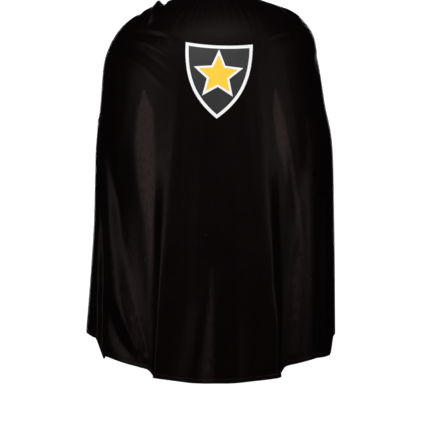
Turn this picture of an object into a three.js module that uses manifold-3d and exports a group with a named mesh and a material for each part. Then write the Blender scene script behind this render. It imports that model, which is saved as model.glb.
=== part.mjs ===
// A superhero cape for an adult, hanging as it does when it is worn with the elbows held out.
//
// Millimetres, +Z up. The origin is the centre of the neck at the seam between the neckband and
// the cloth. The back of the cape, with its emblem, faces -Y, and the open front faces +Y.
//
// The cloth is described by rings. Each ring is a level of the drape, from the neck seam to the
// hem, and a point on it is found by its angle round the wearer: 0 at the middle of the back,
// 90 at the side seam, and past that the front edge. Seams run from the neckband over the
// shoulders and down the sides, so there is one back panel and two front panels. Each panel is
// split at the shoulder bend, where the hanging part swings away from the wearer's back.
import * as THREE from "three";
import { mergeVertices } from "three/addons/utils/BufferGeometryUtils.js";
import Module from "manifold-3d";

const wasm = await Module();
wasm.setup();

// ---------------------------------------------------------------- driving dimensions

const CLOTH = 2; // thickness of the cloth's solid
const GAP = 0.3; // left between pieces that touch
const SIDE_SEAM = 90; // degrees round from the middle of the back
const BEND_RING = 3; // the ring where the shoulder part ends and the hanging part begins
const HANG_OUT = CLOTH + 0.6; // how far the hanging part stands outside the shoulder part

// half holds the ring's half-axes: its width, its back and its front. level holds the heights of
// its back, sides and front. lean moves it to the wearer's right, and lowers it on that side.
// reach is the angle of the front edge, and rows counts the steps down to the next ring.
const RINGS = [
  { half: [66, 68, 68], level: [0, 0, 0], lean: [0, 0], reach: 132, rows: 2 },
  { half: [122, 87, 84], level: [-30, -22, -34], lean: [3, 0], reach: 128, rows: 3 },
  { half: [204, 117, 98], level: [-78, -52, -72], lean: [9, 2], reach: 122, rows: 3 },
  { half: [267, 138, 104], level: [-135, -106, -124], lean: [3, 4], reach: 118, rows: 3 },
  { half: [297, 150, 112], level: [-215, -188, -198], lean: [-9, 4], reach: 116, rows: 3 },
  { half: [313, 161, 122], level: [-330, -308, -310], lean: [-6, 4], reach: 115, rows: 4 },
  { half: [330, 171, 132], level: [-450, -430, -425], lean: [-2, 4], reach: 115, rows: 6 },
  { half: [336, 188, 140], level: [-720, -696, -690], lean: [-3, 6], reach: 114, rows: 9 },
  { half: [347, 206, 146], level: [-1072, -1000, -972], lean: [-12, 15], reach: 112, rows: 0 },
];

// Two valleys run from the elbows to the hem, with the middle of the back standing proud between.
const ELBOW_RING = 5;
const VALLEYS = [
  { side: -1, atElbow: 72, atHem: 31 },
  { side: 1, atElbow: 51, atHem: 32 },
];
const VALLEY_WIDTH = 10; // degrees
const VALLEY_DEPTH = 56;
const MIDDLE_BULGE = 18;

const NECKBAND = { insideX: 62, insideY: 64, wall: 1.2, thick: 4.6, low: 0.4, high: 32.4 };
const STIFFENER = { from: 1.6, to: 3, low: 2, high: 30.5 };
const TAB = { thick: 3, low: 2.5, high: 30.5, leftSpan: 52, rightSpan: 78 };
const PATCH = { thick: 1, low: 4.5, high: 28.5, span: 31 };

const SHOULDER_PATCH = { long: 44, wide: 24, thick: 1.5, ring: 1.7, angle: 86, clear: 3 };
const SIZE_LABEL = { wide: 34, tall: 30, thick: 0.8, inset: 5 };
const CARE_LABEL = { reach: 34, tall: 48, thick: 0.8, ring: 6.3 };

const EMBLEM = { halfWidth: 91, dip: 7, height: 206, top: -158, shift: 11, tilt: 2 };
const EMBLEM_BORDER = 8.5;
const STAR = { points: 5, outer: 55, inner: 25, outline: 6, below: 88 };
const FILM = 0.4; // thickness of one layer of the emblem

const BACK_COLUMNS = 36;
const FRONT_COLUMNS = 4;
const BAND_STEP = 8; // degrees

// ---------------------------------------------------------------- materials

const satinCloth = new THREE.MeshStandardMaterial({ color: 0x161112, roughness: 0.55, metalness: 0 });
const bandCloth = new THREE.MeshStandardMaterial({ color: 0x121011, roughness: 0.7, metalness: 0 });
const stiffTape = new THREE.MeshStandardMaterial({ color: 0xe6e4de, roughness: 0.9, metalness: 0 });
const touchTape = new THREE.MeshStandardMaterial({ color: 0x0c0c0d, roughness: 0.95, metalness: 0 });
const labelTape = new THREE.MeshStandardMaterial({ color: 0xf2f1ec, roughness: 0.6, metalness: 0 });
const whiteFilm = new THREE.MeshStandardMaterial({ color: 0xfafafa, roughness: 0.45, metalness: 0 });
const charcoalFilm = new THREE.MeshStandardMaterial({ color: 0x393a3b, roughness: 0.5, metalness: 0 });
const yellowFilm = new THREE.MeshStandardMaterial({ color: 0xffd22e, roughness: 0.45, metalness: 0 });

// ---------------------------------------------------------------- the draped surface

const radians = THREE.MathUtils.degToRad;
const smooth = (x) => THREE.MathUtils.smoothstep(x, 0, 1);
const lastRing = RINGS.length - 1;

const ringCurve = (pick) =>
  new THREE.CatmullRomCurve3(
    RINGS.map((ring) => new THREE.Vector3(...pick(ring))),
    false,
    "catmullrom",
    0.5,
  );
const halves = ringCurve((ring) => ring.half);
const levels = ringCurve((ring) => ring.level);
const leans = ringCurve((ring) => [...ring.lean, ring.reach]);

// From 0 at the elbows to 1 at the hem.
const belowElbow = (ring) => THREE.MathUtils.clamp((ring - ELBOW_RING) / (lastRing - ELBOW_RING), 0, 1);

function valleyAngle(side, ring) {
  const valley = VALLEYS.find((each) => each.side === side);
  return THREE.MathUtils.lerp(valley.atElbow, valley.atHem, belowElbow(ring));
}

// How far the folds move the cloth out, at a ring (a number from 0 to lastRing) and an angle.
function foldAt(ring, angle) {
  const line = valleyAngle(angle < 0 ? -1 : 1, ring);
  const off = (Math.abs(angle) - line) / VALLEY_WIDTH;
  const middle = smooth((line - Math.abs(angle)) / line);
  return smooth(belowElbow(ring)) * (MIDDLE_BULGE * middle - VALLEY_DEPTH * Math.exp(-off * off));
}

// The outer face of the cloth over the shoulders, carried on down to the hem.
function surface(ring, angle) {
  const half = halves.getPoint(ring / lastRing);
  const level = levels.getPoint(ring / lastRing);
  const lean = leans.getPoint(ring / lastRing);
  const sin = Math.sin(radians(angle));
  const cos = Math.cos(radians(angle));
  const towardsFront = cos < 0;
  const depth = towardsFront ? half.z : half.y;
  const end = towardsFront ? level.z : level.x;
  const fold = foldAt(ring, angle);
  return new THREE.Vector3(
    (half.x + fold) * sin + lean.x,
    -(depth + fold) * cos,
    THREE.MathUtils.lerp(end, level.y, sin * sin) - lean.y * sin,
  );
}

function surfaceNormal(ring, angle) {
  const step = 0.02;
  const low = Math.max(ring - step, 0);
  const high = Math.min(ring + step, lastRing);
  const down = surface(high, angle).sub(surface(low, angle));
  const round = surface(ring, angle + 1).sub(surface(ring, angle - 1));
  return round.cross(down).negate().normalize();
}

// A point that stands off the outer face: positive is away from the wearer.
function offSurface(ring, angle, off) {
  return surface(ring, angle).addScaledVector(surfaceNormal(ring, angle), off);
}

// Ring numbers from one ring to another, with each ring's own count of rows.
function rowsBetween(first, last) {
  const rows = [];
  for (let i = first; i < last; i++)
    for (let k = 0; k < RINGS[i].rows; k++) rows.push(i + k / RINGS[i].rows);
  return [...rows, last];
}

// ---------------------------------------------------------------- closed solids

// A closed skin over a grid of outer points and a grid of inner points behind them.
function slabGeometry(outer, inner) {
  const rows = outer.length;
  const columns = outer[0].length;
  const points = [...outer.flat(), ...inner.flat()];
  const at = (row, column, behind) => row * columns + column + (behind ? rows * columns : 0);
  const index = [];
  const quad = (a, b, c, d) => index.push(a, b, c, a, c, d);
  for (let r = 0; r + 1 < rows; r++)
    for (let c = 0; c + 1 < columns; c++) {
      const falls = outer[r][c].distanceTo(outer[r + 1][c + 1]);
      const rises = outer[r + 1][c].distanceTo(outer[r][c + 1]);
      const front = [at(r, c), at(r + 1, c), at(r + 1, c + 1), at(r, c + 1)];
      const behind = [at(r, c, 1), at(r, c + 1, 1), at(r + 1, c + 1, 1), at(r + 1, c, 1)];
      if (rises < falls) {
        front.push(front.shift());
        behind.push(behind.shift());
      }
      quad(...front);
      quad(...behind);
    }
  for (let c = 0; c + 1 < columns; c++) {
    quad(at(0, c), at(0, c + 1), at(0, c + 1, 1), at(0, c, 1));
    quad(at(rows - 1, c + 1), at(rows - 1, c), at(rows - 1, c, 1), at(rows - 1, c + 1, 1));
  }
  for (let r = 0; r + 1 < rows; r++) {
    quad(at(r + 1, 0), at(r, 0), at(r, 0, 1), at(r + 1, 0, 1));
    quad(at(r, columns - 1), at(r + 1, columns - 1), at(r + 1, columns - 1, 1), at(r, columns - 1, 1));
  }
  return new THREE.BufferGeometry().setFromPoints(points).setIndex(index);
}

// A slab of the drape between two offsets from its outer face. angleAt gives a column's angle
// from its share across, 0 to 1, and the ring.
function drapeSlab(rows, columns, angleAt, outerOff, innerOff) {
  const grid = (off) =>
    rows.map((ring) =>
      Array.from({ length: columns + 1 }, (_, c) => offSurface(ring, angleAt(c / columns, ring), off)),
    );
  return slabGeometry(grid(outerOff), grid(innerOff));
}

// A section of [offset, height] points swept round the neck from one angle to another.
function sweptRound(section, from, to, liftAt = () => 0) {
  const steps = Math.max(2, Math.ceil(Math.abs(to - from) / BAND_STEP));
  const count = section.length;
  const points = [];
  for (let s = 0; s <= steps; s++) {
    const angle = THREE.MathUtils.lerp(from, to, s / steps);
    for (const [off, z] of section) {
      const out = off + liftAt(angle);
      points.push(
        new THREE.Vector3(
          (NECKBAND.insideX + out) * Math.sin(radians(angle)),
          -(NECKBAND.insideY + out) * Math.cos(radians(angle)),
          z,
        ),
      );
    }
  }
  const index = [];
  for (let s = 0; s < steps; s++)
    for (let k = 0; k < count; k++) {
      const a = s * count + k;
      const b = s * count + ((k + 1) % count);
      index.push(a, b, b + count, a, b + count, a + count);
    }
  const faces = THREE.ShapeUtils.triangulateShape(section.map(([off, z]) => new THREE.Vector2(off, z)), []);
  for (const [a, b, c] of faces) {
    index.push(a, b, c);
    index.push(a + steps * count, c + steps * count, b + steps * count);
  }
  return new THREE.BufferGeometry().setFromPoints(points).setIndex(index);
}

const strip = (from, to, low, high) => [
  [from, low],
  [from, high],
  [to, high],
  [to, low],
];

function toSolid(geometry) {
  const bare = geometry.clone();
  bare.deleteAttribute("normal");
  bare.deleteAttribute("uv");
  const merged = mergeVertices(bare, 1e-4);
  return new wasm.Manifold(
    new wasm.Mesh({
      numProp: 3,
      vertProperties: new Float32Array(merged.attributes.position.array),
      triVerts: new Uint32Array(merged.index.array),
    }),
  );
}

function toGeometry(solid) {
  const mesh = solid.getMesh();
  return new THREE.BufferGeometry()
    .setAttribute("position", new THREE.BufferAttribute(new Float32Array(mesh.vertProperties), 3))
    .setIndex(new THREE.BufferAttribute(new Uint32Array(mesh.triVerts), 1));
}

function node(name, geometry, material) {
  geometry.computeVertexNormals();
  const mesh = new THREE.Mesh(geometry, material);
  mesh.name = name;
  return mesh;
}

// ---------------------------------------------------------------- cloth panels

// The seam's clearance as an angle, which shrinks as the ring grows.
const seamClearance = (ring) => THREE.MathUtils.radToDeg(GAP / 2 / halves.getPoint(ring / lastRing).y);

// Half of the columns on each side lie inside its valley, so that one column runs down the valley.
function backAngle(share, ring) {
  const side = share < 0.5 ? -1 : 1;
  const out = Math.abs(2 * share - 1);
  const valley = valleyAngle(side, ring);
  const seam = SIDE_SEAM - seamClearance(ring);
  return side * (out < 0.5 ? 2 * out * valley : THREE.MathUtils.lerp(valley, seam, 2 * out - 1));
}

function frontAngle(side) {
  return (share, ring) => {
    const from = SIDE_SEAM + seamClearance(ring);
    const to = leans.getPoint(ring / lastRing).z;
    const angle = THREE.MathUtils.lerp(from, to, side > 0 ? share : 1 - share);
    return side * angle;
  };
}

function clothPanels(rows, out) {
  const slab = (columns, angleAt) => drapeSlab(rows, columns, angleAt, out, out - CLOTH);
  return {
    back: slab(BACK_COLUMNS, backAngle),
    left: slab(FRONT_COLUMNS, frontAngle(-1)),
    right: slab(FRONT_COLUMNS, frontAngle(1)),
  };
}

function cloth() {
  const shoulders = clothPanels(rowsBetween(0, BEND_RING), 0);
  const drape = clothPanels(rowsBetween(BEND_RING, lastRing), HANG_OUT);
  return [
    node("back_panel_shoulders", shoulders.back, satinCloth),
    node("left_front_panel_shoulder", shoulders.left, satinCloth),
    node("right_front_panel_shoulder", shoulders.right, satinCloth),
    node("back_panel_drape", drape.back, satinCloth),
    node("left_front_panel_drape", drape.left, satinCloth),
    node("right_front_panel_drape", drape.right, satinCloth),
  ];
}

// ---------------------------------------------------------------- neckband and closure

// The band is one strip folded over the top, so its section is an upside-down U.
function neckband() {
  const { wall, thick, low, high } = NECKBAND;
  const section = [
    [0, low],
    [0, high],
    [thick, high],
    [thick, low],
    [thick - wall, low],
    [thick - wall, high - wall],
    [wall, high - wall],
    [wall, low],
  ];
  const end = RINGS[0].reach;
  const inner = strip(STIFFENER.from, STIFFENER.to, STIFFENER.low, STIFFENER.high);
  return [
    node("neckband", sweptRound(section, -end, end), bandCloth),
    node("neckband_stiffener", sweptRound(inner, -end + 2, end - 2), stiffTape),
  ];
}

// The tabs carry on round the throat. The right one steps out and laps over the left one.
function closure() {
  const end = RINGS[0].reach;
  const rootGap = THREE.MathUtils.radToDeg(GAP / NECKBAND.insideX);
  const lap = TAB.thick + 2 * PATCH.thick + 3 * GAP;
  const leftTip = -end - TAB.leftSpan;
  const rightTip = end + TAB.rightSpan;
  const stepOut = (angle) => lap * smooth((angle - end - 4) / (360 + leftTip - end - 8));
  const patchFrom = rightTip - 1.5 - PATCH.span;
  const tab = strip(0, TAB.thick, TAB.low, TAB.high);
  const loops = strip(TAB.thick + GAP, TAB.thick + GAP + PATCH.thick, PATCH.low, PATCH.high);
  const hooks = strip(lap - GAP - PATCH.thick, lap - GAP, PATCH.low, PATCH.high);
  return [
    node("left_neck_tab", sweptRound(tab, leftTip, -end - rootGap), bandCloth),
    node("right_neck_tab", sweptRound(tab, end + rootGap, rightTip, stepOut), bandCloth),
    node("loop_patch", sweptRound(loops, patchFrom, patchFrom + PATCH.span), touchTape),
    node("hook_patch", sweptRound(hooks, patchFrom, patchFrom + PATCH.span), touchTape),
  ];
}

// ---------------------------------------------------------------- patches and labels

// A flat plate under each shoulder, its lower face against the wearer's shoulder.
function shoulderPatch(side) {
  const { long, wide, thick, ring, angle, clear } = SHOULDER_PATCH;
  const normal = surfaceNormal(ring, side * angle);
  const depth = CLOTH + clear + thick / 2;
  const mesh = node(
    side < 0 ? "left_shoulder_patch" : "right_shoulder_patch",
    new THREE.BoxGeometry(long, wide, thick),
    touchTape,
  );
  const outward = new THREE.Vector3(side, 0, 0).projectOnPlane(normal).normalize();
  mesh.quaternion.setFromRotationMatrix(
    new THREE.Matrix4().makeBasis(outward, normal.clone().cross(outward), normal),
  );
  mesh.position.copy(offSurface(ring, side * angle, -depth));
  return mesh;
}

function labels() {
  const size = node(
    "size_label",
    new THREE.BoxGeometry(SIZE_LABEL.wide, SIZE_LABEL.thick, SIZE_LABEL.tall),
    labelTape,
  );
  size.position.set(0, -NECKBAND.insideY + SIZE_LABEL.inset, -SIZE_LABEL.tall / 2 + NECKBAND.low - GAP);
  const care = node(
    "care_label",
    new THREE.BoxGeometry(CARE_LABEL.reach, CARE_LABEL.thick, CARE_LABEL.tall),
    labelTape,
  );
  const seam = surface(CARE_LABEL.ring, -SIDE_SEAM);
  care.position.set(seam.x + CLOTH - HANG_OUT + 3 * GAP + CARE_LABEL.reach / 2, seam.y, seam.z);
  return [size, care];
}

// ---------------------------------------------------------------- emblem

// A plain heater shield, with its top corners a little above the middle of its top edge.
function shieldOutline() {
  const { halfWidth: w, dip, height } = EMBLEM;
  const outline = new THREE.Shape();
  outline.moveTo(0, -dip);
  outline.quadraticCurveTo(-w / 2, -dip, -w, 0);
  outline.bezierCurveTo(-w * 1.02, -height * 0.5, -w * 0.7, -height * 0.76, 0, -height);
  outline.bezierCurveTo(w * 0.7, -height * 0.76, w * 1.02, -height * 0.5, w, 0);
  outline.quadraticCurveTo(w / 2, -dip, 0, -dip);
  return outline.getPoints(10).slice(0, -1);
}

function starOutline() {
  const points = [];
  for (let i = 0; i < 2 * STAR.points; i++) {
    const radius = i % 2 ? STAR.inner : STAR.outer;
    const turn = (Math.PI * i) / STAR.points;
    points.push(new THREE.Vector2(-radius * Math.sin(turn), radius * Math.cos(turn) - STAR.below));
  }
  return points;
}

// The outline moved out by a distance, with mitred corners. Negative moves it in.
function moved(outline, distance) {
  const count = outline.length;
  return outline.map((point, i) => {
    const before = point.clone().sub(outline[(i + count - 1) % count]).normalize();
    const after = outline[(i + 1) % count].clone().sub(point).normalize();
    const outBefore = new THREE.Vector2(before.y, -before.x);
    const outAfter = new THREE.Vector2(after.y, -after.x);
    const bisector = outBefore.clone().add(outAfter).normalize();
    return point.clone().addScaledVector(bisector, distance / bisector.dot(outAfter));
  });
}

// One layer of film: the outline cut out of a thin slab that follows the back of the cape.
function emblemFilm(name, outline, layer, material) {
  const low = HANG_OUT + GAP + layer * (FILM + GAP);
  const rows = rowsBetween(BEND_RING, ELBOW_RING + 1);
  const slab = drapeSlab(rows, BACK_COLUMNS, backAngle, low + FILM, low);
  const prism = new THREE.ExtrudeGeometry(new THREE.Shape(outline), { depth: 400, bevelEnabled: false })
    .rotateX(Math.PI / 2)
    .rotateY(-radians(EMBLEM.tilt))
    .translate(EMBLEM.shift, 0, EMBLEM.top);
  return node(name, toGeometry(toSolid(slab).intersect(toSolid(prism))), material);
}

function emblem() {
  const shield = shieldOutline();
  const star = starOutline();
  return [
    emblemFilm("emblem_shield_border", shield, 0, whiteFilm),
    emblemFilm("emblem_shield_field", moved(shield, -EMBLEM_BORDER), 1, charcoalFilm),
    emblemFilm("emblem_star_outline", moved(star, STAR.outline), 2, whiteFilm),
    emblemFilm("emblem_star", star, 3, yellowFilm),
  ];
}

// ---------------------------------------------------------------- the whole cape

const cape = new THREE.Group();
cape.add(
  ...cloth(),
  ...neckband(),
  ...closure(),
  shoulderPatch(-1),
  shoulderPatch(1),
  ...labels(),
  ...emblem(),
);

export default cape;
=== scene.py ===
"""Superhero cape: its cloth, neckband, closure, emblem and trim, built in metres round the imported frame.

The cloth is one draped surface, described by rings from the neck seam to the hem. It is settled by a
short cloth simulation and then cut into a back panel and two front panels. Everything sewn to it is
placed from that surface, so the hems, seams, labels and emblem follow the same folds.
"""

from __future__ import annotations

import logging  # noqa: E402
import math  # noqa: E402
from collections.abc import Iterable  # noqa: E402
from dataclasses import dataclass, field  # noqa: E402
from enum import Enum  # noqa: E402

import bmesh  # noqa: E402
import bpy  # noqa: E402
import numpy as np  # noqa: E402
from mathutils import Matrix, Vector  # noqa: E402
from mathutils.bvhtree import BVHTree  # noqa: E402
from mathutils.geometry import delaunay_2d_cdt  # noqa: E402


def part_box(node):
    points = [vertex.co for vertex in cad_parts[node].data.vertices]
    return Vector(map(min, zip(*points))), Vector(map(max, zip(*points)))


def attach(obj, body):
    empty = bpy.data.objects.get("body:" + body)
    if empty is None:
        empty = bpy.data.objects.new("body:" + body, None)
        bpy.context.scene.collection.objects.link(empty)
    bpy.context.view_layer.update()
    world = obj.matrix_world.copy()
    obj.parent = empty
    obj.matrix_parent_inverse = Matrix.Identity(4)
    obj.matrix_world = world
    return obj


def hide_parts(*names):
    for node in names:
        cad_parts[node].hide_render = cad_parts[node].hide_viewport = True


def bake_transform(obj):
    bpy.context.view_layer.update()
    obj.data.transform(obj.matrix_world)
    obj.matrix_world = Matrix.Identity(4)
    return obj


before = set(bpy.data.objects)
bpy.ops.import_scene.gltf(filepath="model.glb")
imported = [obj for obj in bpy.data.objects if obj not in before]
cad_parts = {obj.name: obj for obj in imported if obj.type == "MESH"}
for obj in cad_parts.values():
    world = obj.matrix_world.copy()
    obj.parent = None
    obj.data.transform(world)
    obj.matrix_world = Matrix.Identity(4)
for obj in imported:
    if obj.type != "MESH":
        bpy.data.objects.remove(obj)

LOG = logging.getLogger("cape")

Array = np.ndarray
Material = bpy.types.Material
Node = bpy.types.Node
Piece = bpy.types.Object
Socket = bpy.types.NodeSocket
Tree = bpy.types.NodeTree


class Side(Enum):
    """A side of the wearer, seen from behind."""

    LEFT = -1
    RIGHT = 1

    @property
    def word(self) -> str:
        """The side's word in the names of pieces."""
        return self.name.lower()


class Body(Enum):
    """The moving bodies of the frame."""

    SHOULDERS = "shoulders"
    DRAPE = "drape"
    LEFT_TAB = "left_tab"
    RIGHT_TAB = "right_tab"


# ------------------------------------------------------------------ arrays


def unit(vectors: Array) -> Array:
    """Vectors of length one along the last axis."""
    return vectors / np.maximum(np.linalg.norm(vectors, axis=-1, keepdims=True), 1e-12)


def smooth(x: Array | float) -> Array:
    """An even step from 0 at 0 to 1 at 1."""
    x = np.clip(x, 0.0, 1.0)
    return x * x * (3 - 2 * x)


def spline(values: Array, at: Array) -> Array:
    """A smooth curve through evenly spaced values.

    Args:
        values: The values, one per whole number, along the first axis.
        at: Where to read the curve, from 0 to the last whole number.

    Returns:
        The values read, with the shape of `at` and then of one value.
    """
    last = len(values) - 1
    padded = np.concatenate([2 * values[:1] - values[1:2], values, 2 * values[-1:] - values[-2:-1]])
    i = np.clip(np.floor(at).astype(int), 0, last - 1)
    w = (at - i).reshape(at.shape + (1,) * (values.ndim - 1))
    a, b, c, d = (padded[i + k] for k in range(4))
    slope_b, slope_c = (c - a) / 2, (d - b) / 2
    square = 3 * (c - b) - 2 * slope_b - slope_c
    cube = 2 * (b - c) + slope_b + slope_c
    return b + w * (slope_b + w * (square + w * cube))


# ------------------------------------------------------------------ meshes


def make_object(
    name: str,
    points: Array,
    faces: list[tuple[int, ...]] | Array,
    materials: list[Material],
    slots: Array | None = None,
    lay: Array | None = None,
    edge: Array | None = None,
    crease: float = 50.0,
) -> Piece:
    """Makes a mesh object from points and faces.

    Args:
        name: The piece's name.
        points: Its points, in metres.
        faces: The corners of each face.
        materials: The materials of its slots.
        slots: The slot of each face, or None for the first.
        lay: Each point's place on the flat cloth, in metres across and down.
        edge: How near each point is to a worn edge, from 0 to 1.
        crease: Faces that meet at more than this angle, in degrees, keep a sharp edge.

    Returns:
        The new object.
    """
    mesh = bpy.data.meshes.new(name)
    mesh.from_pydata(np.asarray(points, float).tolist(), [], [tuple(int(i) for i in f) for f in faces])
    for material in materials:
        mesh.materials.append(material)
    if slots is not None:
        mesh.polygons.foreach_set("material_index", np.asarray(slots, np.int32))
    if lay is None:
        lay = np.asarray(points)[:, [0, 2]]
    flat = np.zeros((len(points), 3), np.float32)
    flat[:, :2] = lay
    mesh.attributes.new("lay", "FLOAT_VECTOR", "POINT").data.foreach_set("vector", flat.ravel())
    worn = np.zeros(len(points), np.float32) if edge is None else np.asarray(edge, np.float32)
    mesh.attributes.new("edge", "FLOAT", "POINT").data.foreach_set("value", worn)
    mesh.shade_smooth()
    mesh.set_sharp_from_angle(angle=math.radians(crease))
    mesh.update()
    mesh.validate()
    made = bpy.data.objects.new(name, mesh)
    bpy.context.scene.collection.objects.link(made)
    return made


def slab_faces(rows: int, columns: int) -> tuple[list[tuple[int, ...]], Array]:
    """The faces of a closed slab between an outer grid and an inner grid of points.

    Args:
        rows: Rows of each grid.
        columns: Columns of each grid.

    Returns:
        The faces, and for each 0 on the outside and the rim and 1 on the inside.
    """
    index = np.arange(2 * rows * columns).reshape(2, rows, columns)
    out, back = index
    quads = [
        np.stack([out[:-1, :-1], out[1:, :-1], out[1:, 1:], out[:-1, 1:]], -1).reshape(-1, 4),
        np.stack([out[0, :-1], out[0, 1:], back[0, 1:], back[0, :-1]], -1),
        np.stack([out[-1, 1:], out[-1, :-1], back[-1, :-1], back[-1, 1:]], -1),
        np.stack([out[1:, 0], out[:-1, 0], back[:-1, 0], back[1:, 0]], -1),
        np.stack([out[:-1, -1], out[1:, -1], back[1:, -1], back[:-1, -1]], -1),
        np.stack([back[:-1, :-1], back[:-1, 1:], back[1:, 1:], back[1:, :-1]], -1).reshape(-1, 4),
    ]
    inside = np.concatenate([np.full(len(q), k == 5) for k, q in enumerate(quads)])
    return np.concatenate(quads).tolist(), inside.astype(np.int32)


def swept(sections: Array) -> list[tuple[int, ...]]:
    """The faces of a closed tube through rings of points, with flat caps.

    Args:
        sections: Rings of points: stations, points of a ring, then coordinates.

    Returns:
        The faces.
    """
    stations, count = sections.shape[:2]
    grid = np.arange(stations * count).reshape(stations, count)
    turned = np.roll(grid, -1, axis=1)
    sides = np.stack([grid[:-1], turned[:-1], turned[1:], grid[1:]], -1).reshape(-1, 4).tolist()
    return [*sides, tuple(grid[0][::-1].tolist()), tuple(grid[-1].tolist())]


Part = tuple[Array, list[tuple[int, ...]]]


def merged(parts: list[Part]) -> Part:
    """The points and faces of several parts, as one."""
    points, faces, base = [], [], 0
    for own, corners in parts:
        points.append(own)
        faces.extend(tuple(i + base for i in face) for face in corners)
        base += len(own)
    return np.concatenate(points), faces


def tubes(paths: Array, across: Array, radii: Array, sides: int = 5) -> Part:
    """Closed tubes along many short paths.

    Args:
        paths: Their middle lines: tube, station, coordinate.
        across: A direction across each tube, at each station or one for all of them.
        radii: The radius at each station.
        sides: Sides of each tube.

    Returns:
        The points and faces of all the tubes.
    """
    count, stations = paths.shape[:2]
    along = unit(np.gradient(paths, axis=1))
    across = np.broadcast_to(across, paths.shape)
    a = unit(across - (across * along).sum(-1, keepdims=True) * along)
    b = np.cross(along, a)
    turn = 2 * math.pi * np.arange(sides) / sides
    ring = a[:, :, None] * np.cos(turn)[:, None] + b[:, :, None] * np.sin(turn)[:, None]
    points = paths[:, :, None] + np.asarray(radii)[:, None, None] * ring
    one = swept(np.zeros((stations, sides, 3)))
    size = stations * sides
    faces = [tuple(i + k * size for i in face) for k in range(count) for face in one]
    return points.reshape(-1, 3), faces


def stacked(*grids: Array) -> Array:
    """The points of several grids, one after the other."""
    return np.concatenate([grid.reshape(-1, grid.shape[-1]) for grid in grids])


def tube(sections: Array) -> Part:
    """The points and faces of a closed tube through rings of points."""
    return sections.reshape(-1, 3), swept(sections)


def lengths(line: Array) -> Array:
    """How far along a line each of its points lies."""
    return np.concatenate([[0.0], np.cumsum(np.linalg.norm(np.diff(line, axis=0), axis=1))])


def read_line(line: Array, at: Array, steps: Array | None = None) -> Array:
    """Reads a line of points at steps that count up along it, or at fractional point numbers."""
    steps = np.arange(len(line)) if steps is None else steps
    return np.stack([np.interp(at, steps, values) for values in line.T], -1)


def read_along(line: Array, along: Array) -> Array:
    """Reads a line of points at distances from its start."""
    return read_line(line, along, lengths(line[:, :3]))


def read_back(line: Array, back: float) -> Array:
    """The point of a line that lies a distance back from its end."""
    return read_along(line[::-1], np.array([back]))[0]


@dataclass(frozen=True)
class Thread:
    """A row of stitches along a line on the cloth."""

    length: float = 0.0026
    pitch: float = 0.0034
    radius: float = 0.00024
    rise: float = 0.00012
    stations: int = 4

    def row(self, line: Array, out: Array) -> Part:
        """Sews along a line.

        Args:
            line: The line's points, on the face of the cloth.
            out: The way out of the cloth at each point.

        Returns:
            The points and faces of the stitches.
        """
        both = np.concatenate([line, out], axis=1)
        total = np.linalg.norm(np.diff(line, axis=0), axis=1).sum()
        starts = np.arange(self.pitch / 2, total - self.length, self.pitch)
        share = np.linspace(0, 1, self.stations)
        read = read_along(both, starts[:, None] + share * self.length)
        arch = np.sin(math.pi * share)
        lift = self.rise * arch - self.radius * 0.7 * (1 - arch)
        paths = read[..., :3] + read[..., 3:] * lift[:, None]
        return tubes(paths, read[..., 3:], self.radius * (0.6 + 0.4 * arch))


# ------------------------------------------------------------------ material nodes


class Nodes:
    """Places and links nodes in one tree."""

    def __init__(self, tree: Tree) -> None:
        """Keeps the tree, and starts the tidy rows of nodes."""
        self.tree = tree
        self.count = 0

    def _place(self, kind: str) -> Node:
        """Puts a new node in the next place of the rows."""
        made = self.tree.nodes.new(kind)
        made.location = (220 * (self.count % 9), -260 * (self.count // 9))
        self.count += 1
        return made

    def _feed(self, inputs: Iterable[tuple[Socket, object]]) -> None:
        """Links a socket to each input, or sets its value."""
        for socket, value in inputs:
            if isinstance(value, Socket):
                self.tree.links.new(value, socket)
            else:
                socket.default_value = value

    def add(self, kind: str, inputs: dict[str | int, object] | None = None, **settings: object) -> Node:
        """Adds a node.

        Args:
            kind: Blender's name for the kind of node.
            inputs: Values or sockets for its inputs, by name or number.
            **settings: The node's own settings.

        Returns:
            The node.
        """
        made = self._place(kind)
        for key, value in settings.items():
            setattr(made, key, value)
        self._feed((made.inputs[key], value) for key, value in (inputs or {}).items())
        return made

    def math(self, operation: str, *values: object) -> Socket:
        """The result of a sum on sockets or numbers."""
        return self.add("ShaderNodeMath", dict(enumerate(values)), operation=operation).outputs[0]

    def group(self, tree: Tree, inputs: dict[str, object]) -> Node:
        """Places a node group with its own values."""
        made = self._place("ShaderNodeGroup")
        made.node_tree = tree
        self._feed((made.inputs[key], value) for key, value in inputs.items())
        return made

    def mix(self, share: object, low: object, high: object) -> Socket:
        """A colour between two colours."""
        made = self._place("ShaderNodeMix")
        made.data_type = "RGBA"
        self._feed(zip((made.inputs[0], made.inputs[6], made.inputs[7]), (share, low, high)))
        return made.outputs[2]

    def attribute(self, name: str, output: str = "Fac") -> Socket:
        """What a mesh holds at each point under a name."""
        return self.add("ShaderNodeAttribute", attribute_name=name).outputs[output]

    def choose(self, first: Node, second: Node) -> Socket:
        """The second shader where the camera looks straight at it, and the first elsewhere."""
        path = self.add("ShaderNodeLightPath")
        parts = {0: path.outputs["Is Camera Ray"], 1: first.outputs[0], 2: second.outputs[0]}
        return self.add("ShaderNodeMixShader", parts).outputs[0]

    def finish(self, base: object, rough: object, height: object, strength: float, depth: float) -> None:
        """Feeds the material's shader.

        Args:
            base: Its colour.
            rough: Its roughness.
            height: The height of its bumps.
            strength: How strongly they show.
            depth: How deep they are, in metres.
        """
        bump = self.add("ShaderNodeBump", {"Strength": strength, "Distance": depth, "Height": height})
        shader = self.tree.nodes["Principled BSDF"]
        for label, socket in (("Base Color", base), ("Roughness", rough), ("Normal", bump.outputs[0])):
            self.tree.links.new(socket, shader.inputs[label])


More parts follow.
